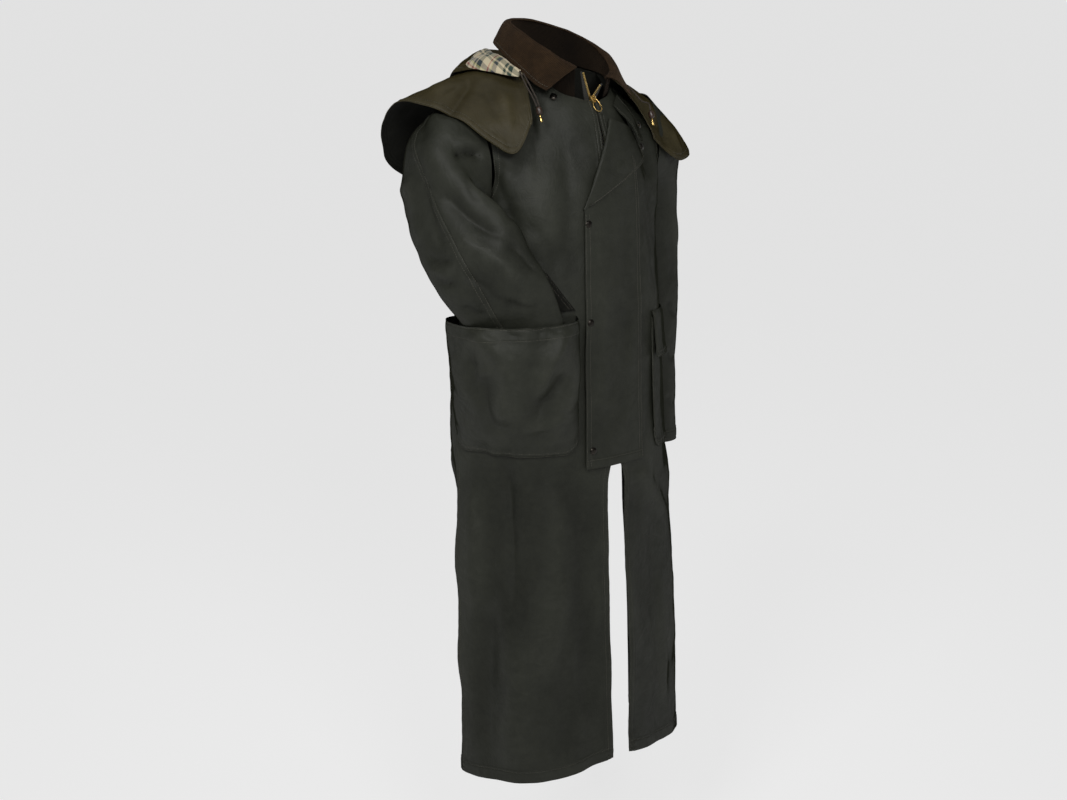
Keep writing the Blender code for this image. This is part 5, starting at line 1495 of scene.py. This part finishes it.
def flap_grid():
    """Points of the storm flap and its lapel: one grid, and the cells of it that are cloth."""
    low = shares("flap_low")
    main = shares("flap_across")
    rows = []
    for t in low[:-1]:
        z = FLAP_FOOT_Z + (ROLL_FOOT[1] - FLAP_FOOT_Z) * t
        sewn = np.array([FLAP_SEWN_X[0] + (FLAP_SEWN_X[1] - FLAP_SEWN_X[0]) * t, z])
        free = np.array([FLAP_FREE_X[0] + (FLAP_FREE_X[1] - FLAP_FREE_X[0]) * t, z])
        rows.append((sewn, free, free))
    for t in shares("flap_roll"):
        sewn = np.array([FLAP_SEWN_X[1], ROLL_FOOT[1]]) * (1 - t) + FLAP_TOP_SEWN * t
        rows.append((sewn, ROLL_FOOT * (1 - t) + ROLL_TOP * t, lapel_edge(t)))
    away = unit(np.array([ROLL_TOP[1] - ROLL_FOOT[1], ROLL_FOOT[0] - ROLL_TOP[0]]))
    turns = np.linspace(0.0, pi, FLAP_ROLL_CELLS + 1)[1:]
    lapel = shares("lapel_across")[1:]
    out = np.concatenate([np.zeros(len(main)), ROLL_RADIUS * (1 - np.cos(turns)),
                          np.full(len(lapel), 2 * ROLL_RADIUS)])
    grid = []
    for sewn, free, tip in rows:
        flat = sewn + (free - sewn) * main[:, None]
        bend = free - away * ROLL_RADIUS * np.sin(turns)[:, None]
        fall = free + (tip - free) * lapel[:, None]
        places = np.concatenate([flat, bend, fall])
        grid.append(FRONT.point(places[:, 0], places[:, 1], FLAP_OUT + out))
    cells = np.ones((len(rows) - 1, len(grid[0]) - 1), bool)
    cells[:len(low) - 1, len(main) - 1:] = False
    return np.array(grid), cells, len(main), len(low) - 1


def build_storm_flap(waxed):
    """The flap over the zip and its folded lapel, in one cloth."""
    grid, cells, main, low = flap_grid()
    flap = Cloth("cloth_storm_flap", grid, ("body", "flap"), FRONT_INSIDE, wall=FLAP_WALL, cells=cells,
                 edges=EDGES["storm_flap"], lie_share=LIE_SHARE["storm_flap"])
    sew(flap, (waxed,), "storm_flap",
        UNSEWN["storm_flap"])
    outer, inner, ways = (field.reshape(*flap.shape, 3) for field in (flap.outer, flap.inner, flap.normals))
    for distance in FLAP_STITCHES:
        column = np.argmin(np.abs(flap.u[0, main - 1] - flap.u[0] - distance))
        STITCHES.append((outer[:low, column], ways[:low, column]))
        column = np.argmin(np.abs(flap.u[0] - distance))
        STITCHES.append((outer[:, column], ways[:, column]))
    row = np.argmin(np.abs(flap.v[:, 0] - FLAP_FOOT_STITCH))
    STITCHES.append((outer[row, :main], ways[row, :main]))
    for column in LAPEL_STITCH_COLUMNS:
        STITCHES.append((inner[low:, column], -ways[low:, column]))


def build_throat_tab(waxed):
    """Strap with a rounded end, from under the far collar leaf to the lapel's corner."""
    length = np.linalg.norm(TAB_END - TAB_START)
    along = (TAB_END - TAB_START) / length
    across = np.array([-along[1], along[0]])
    t = spread(length, *TAB_CELLS)
    into_tip = np.maximum(0.0, 1.0 - (1.0 - t) * length / (TAB_WIDTH / 2))
    half = TAB_WIDTH / 2 * np.maximum(np.sqrt(1.0 - into_tip ** 2), TAB_TIP_SHARE)
    lift = TAB_OUT[0] + (TAB_OUT[1] - TAB_OUT[0]) * ease(t * TAB_LIFT_RATE)
    s = np.linspace(-1.0, 1.0, TAB_COLUMNS)
    places = TAB_START + along * length * t[:, None, None] + across * half[:, None, None] * s[None, :, None]
    grid = FRONT.point(places[..., 0], places[..., 1], lift[:, None])
    tab = Cloth("cloth_throat_tab", grid, (), FRONT_INSIDE, edges=EDGES["throat_tab"],
                lie_share=LIE_SHARE["throat_tab"])
    sew(tab, (waxed,), "throat_tab", UNSEWN["throat_tab"])


def build_pockets(waxed, lining):
    """Patch pockets with double-stitched borders, and their flaps."""
    for side, name in SIDES:
        grid = pocket(side, shares("pocket_across"), shares("pocket_down"))
        bag = Cloth(f"cloth_pocket_{name}", grid, (f"pocket_{name}",), edges=EDGES["pocket"],
                    lie_share=LIE_SHARE[f"pocket_{name}"])
        sew(bag, (waxed, lining), f"pocket_{name}")
    for name, shape, finishes in (("right", pocket_flap_right, (lining, waxed)),
                                  ("left", pocket_flap_left, (waxed, lining))):
        grid = shape(shares("pocket_flap_across"), shares("pocket_flap_down"))
        flap = Cloth(f"cloth_pocket_flap_{name}", grid, edges=EDGES["pocket_flap"],
                     lie_share=LIE_SHARE["pocket_flap"])
        sew(flap, finishes, f"pocket_flap_{name}")


def zip_half(side, rows_low, rows_high):
    """Grid of one zip tape: behind the front's edge, then free up to the collar's end."""
    z = ZIP_FOOT_Z + (ZIP_SPLIT_Z - ZIP_FOOT_Z) * rows_low
    x = side * np.linspace(ZIP_HALF_CHAIN, ZIP_TAPE, ZIP_COLUMNS)
    low = FRONT.point(x[None, :], z[:, None], -ZIP_BEHIND)
    ends = np.array(ZIP_ENDS[side]) + np.array([[-side, 0.0, 0.0], [side, 0.0, 0.0]]) * ZIP_FREE_HALF
    high = ends[0] + (ends[1] - ends[0]) * np.linspace(0.0, 1.0, ZIP_COLUMNS)[:, None]
    t = rows_high[1:, None, None]
    return np.concatenate([low, low[-1] * (1 - t) + high * t])


def build_teeth(name, edge, ways, first, brass):
    """Bevelled metal teeth along a tape's edge."""
    keys = run_lengths(edge)
    at = np.arange(first, keys[-1] - TOOTH_LAST, TOOTH_PITCH)
    places = read_line(at, keys, edge)
    ahead = unit(read_line(at + TOOTH_STEP, keys, edge) - places)
    way = read_line(at, keys, ways)
    across = unit(np.cross(ahead, way))
    out = np.cross(across, ahead)
    places = places + way * TOOTH_OUT
    wide, thick, tall = TOOTH_SIZE
    rings = [np.stack([places + across * wide * a * share + ahead * tall * b * share + out * thick * level
                       for a, b in TOOTH_CORNERS], 1) for level, share in TOOTH_LAYERS]
    prisms(f"zip_teeth_{name}", np.stack(rings, 1), brass)


def build_zip(tape, brass):
    """Zip tapes and their metal teeth, the left side's half a pitch on."""
    for side, name in SIDES:
        grid = zip_half(side, shares("zip_low"), shares("zip_high"))
        half = Cloth(f"cloth_zip_{name}", grid, (), FRONT_INSIDE, wall=ZIP_WALL, lie_share=LIE_SHARE["zip"])
        sew(half, (tape,), f"zip_{name}")
        edge, ways = (field.reshape(*half.shape, 3)[:, 0] for field in (half.outer, half.normals))
        build_teeth(name, edge, ways, TOOTH_FIRST + (TOOTH_PITCH / 2 if side > 0 else 0.0), brass)


def smooth_node(node, finish, bevel=0.0):
    """Keep a hard node, with a finish and softer edges."""
    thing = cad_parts[node]
    thing.data.materials.clear()
    thing.data.materials.append(finish)
    weld = thing.modifiers.new("weld", "WELD")
    weld.merge_threshold = WELD_GAP
    if bevel:
        edge = thing.modifiers.new("edge", "BEVEL")
        edge.width = bevel
        edge.segments = BEVEL_STEPS
    else:
        fine = thing.modifiers.new("fine", "SUBSURF")
        fine.levels = SMOOTH_LEVELS
        fine.render_levels = SMOOTH_LEVELS


def build_metal(brass, bronze):
    """Slider, bail, ring pull, studs and cord tips keep their solids."""
    smooth_node("zip_slider", brass, SLIDER_BEVEL)
    for node in ("zip_bail", "zip_pull", "cord_tip_left", "cord_tip_right"):
        smooth_node(node, brass)
    for name in SNAPS:
        smooth_node(f"snap_{name}", bronze)


def build_cords(braid, leather):
    """Hood drawcords, with their stoppers."""
    for side in ("left", "right"):
        smooth_node(f"cord_stopper_{side}", leather)
    for name, route in CORDS.items():
        curve = bpy.data.curves.new(f"cord_{name}", "CURVE")
        curve.dimensions = "3D"
        curve.bevel_depth = CORD_RADIUS
        curve.bevel_resolution = CORD_ROUND
        curve.use_fill_caps = True
        line = curve.splines.new("POLY")
        points = smooth_route(route, CORD_POINTS)
        line.points.add(len(points) - 1)
        for spot, place in zip(line.points, points):
            spot.co = (*place, 1.0)
        curve.materials.append(braid)
        thing = bpy.data.objects.new(f"cord_{name}", curve)
        bpy.context.scene.collection.objects.link(thing)
        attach(thing, "coat")
        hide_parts(f"drawcord_{name}")
        side = name.split("_")[0]


def build_stage():
    """Wide pale floor."""
    corners = np.array([(-1.0, -1.0), (1.0, -1.0), (1.0, 1.0), (-1.0, 1.0)]) * FLOOR_HALF
    points = np.column_stack([corners, np.full(len(corners), FLOOR_Z)])
    floor = mesh_object("floor", points, np.array([[0, 1, 2, 3]]), [floor_finish()])


def area_light(name, place, size, spread_degrees, power):
    """Soft square light aimed at the coat."""
    made = bpy.data.lights.new(name, "AREA")
    made.size = size
    made.spread = radians(spread_degrees)
    made.energy = power
    thing = bpy.data.objects.new(name, made)
    thing.location = place
    aim = unit(np.array(LIGHT_TARGET) - np.array(place))
    thing.rotation_euler = (np.arccos(-aim[2]), 0.0, np.arctan2(aim[1], aim[0]) - pi / 2)
    bpy.context.scene.collection.objects.link(thing)


def build_lights():
    """Even pale surround, a large key from the photograph's upper left, fill and top light."""
    world = bpy.data.worlds.new("studio")
    bpy.context.scene.world = world
    world.use_nodes = True
    background = world.node_tree.nodes["Background"]
    background.inputs["Color"].default_value = colour(*WHITE)
    background.inputs["Strength"].default_value = WORLD_LIGHT
    for name, row in LIGHTS.items():
        area_light(name, *row)
    bpy.context.scene.view_settings.view_transform = "Standard"


def build_camera():
    """Camera where the photograph was taken from."""
    made = bpy.data.cameras.new("camera")
    made.sensor_width = SENSOR_MM
    made.lens = FOCAL_PX * SENSOR_MM / IMAGE[0]
    thing = bpy.data.objects.new("camera", made)
    thing.location = CAMERA_PLACE
    thing.rotation_euler = (pi / 2 - CAMERA_PITCH, 0.0, CAMERA_TURN)
    bpy.context.scene.collection.objects.link(thing)
    bpy.context.scene.camera = thing


FRONT = FrontCloth()
waxed_cotton = waxed_finish("waxed_cotton")
# Cape and hood: the waxed cotton painted lighter and warmer where light falls from above
top_lit_cotton = waxed_finish("waxed_cotton_painted_top_light")
inner_cotton = inside_finish()
brass_finish = metal_finish("brass")
build_panels(waxed_cotton, inner_cotton)
build_sleeves(waxed_cotton, inner_cotton)
build_cape(top_lit_cotton, inner_cotton)
build_collar(corduroy_finish("brown_corduroy"), corduroy_finish("shaded_corduroy"))
build_hood(top_lit_cotton, inner_cotton, check_finish())
build_storm_flap(waxed_cotton)
build_throat_tab(waxed_cotton)
build_pockets(waxed_cotton, inner_cotton)
build_zip(woven_finish("zip_tape"), brass_finish)
build_metal(brass_finish, metal_finish("dark_bronze"))
build_cords(woven_finish("brown_cord"), leather_finish())
build_stitches(woven_finish("thread"))
build_stage()
build_lights()
build_camera()
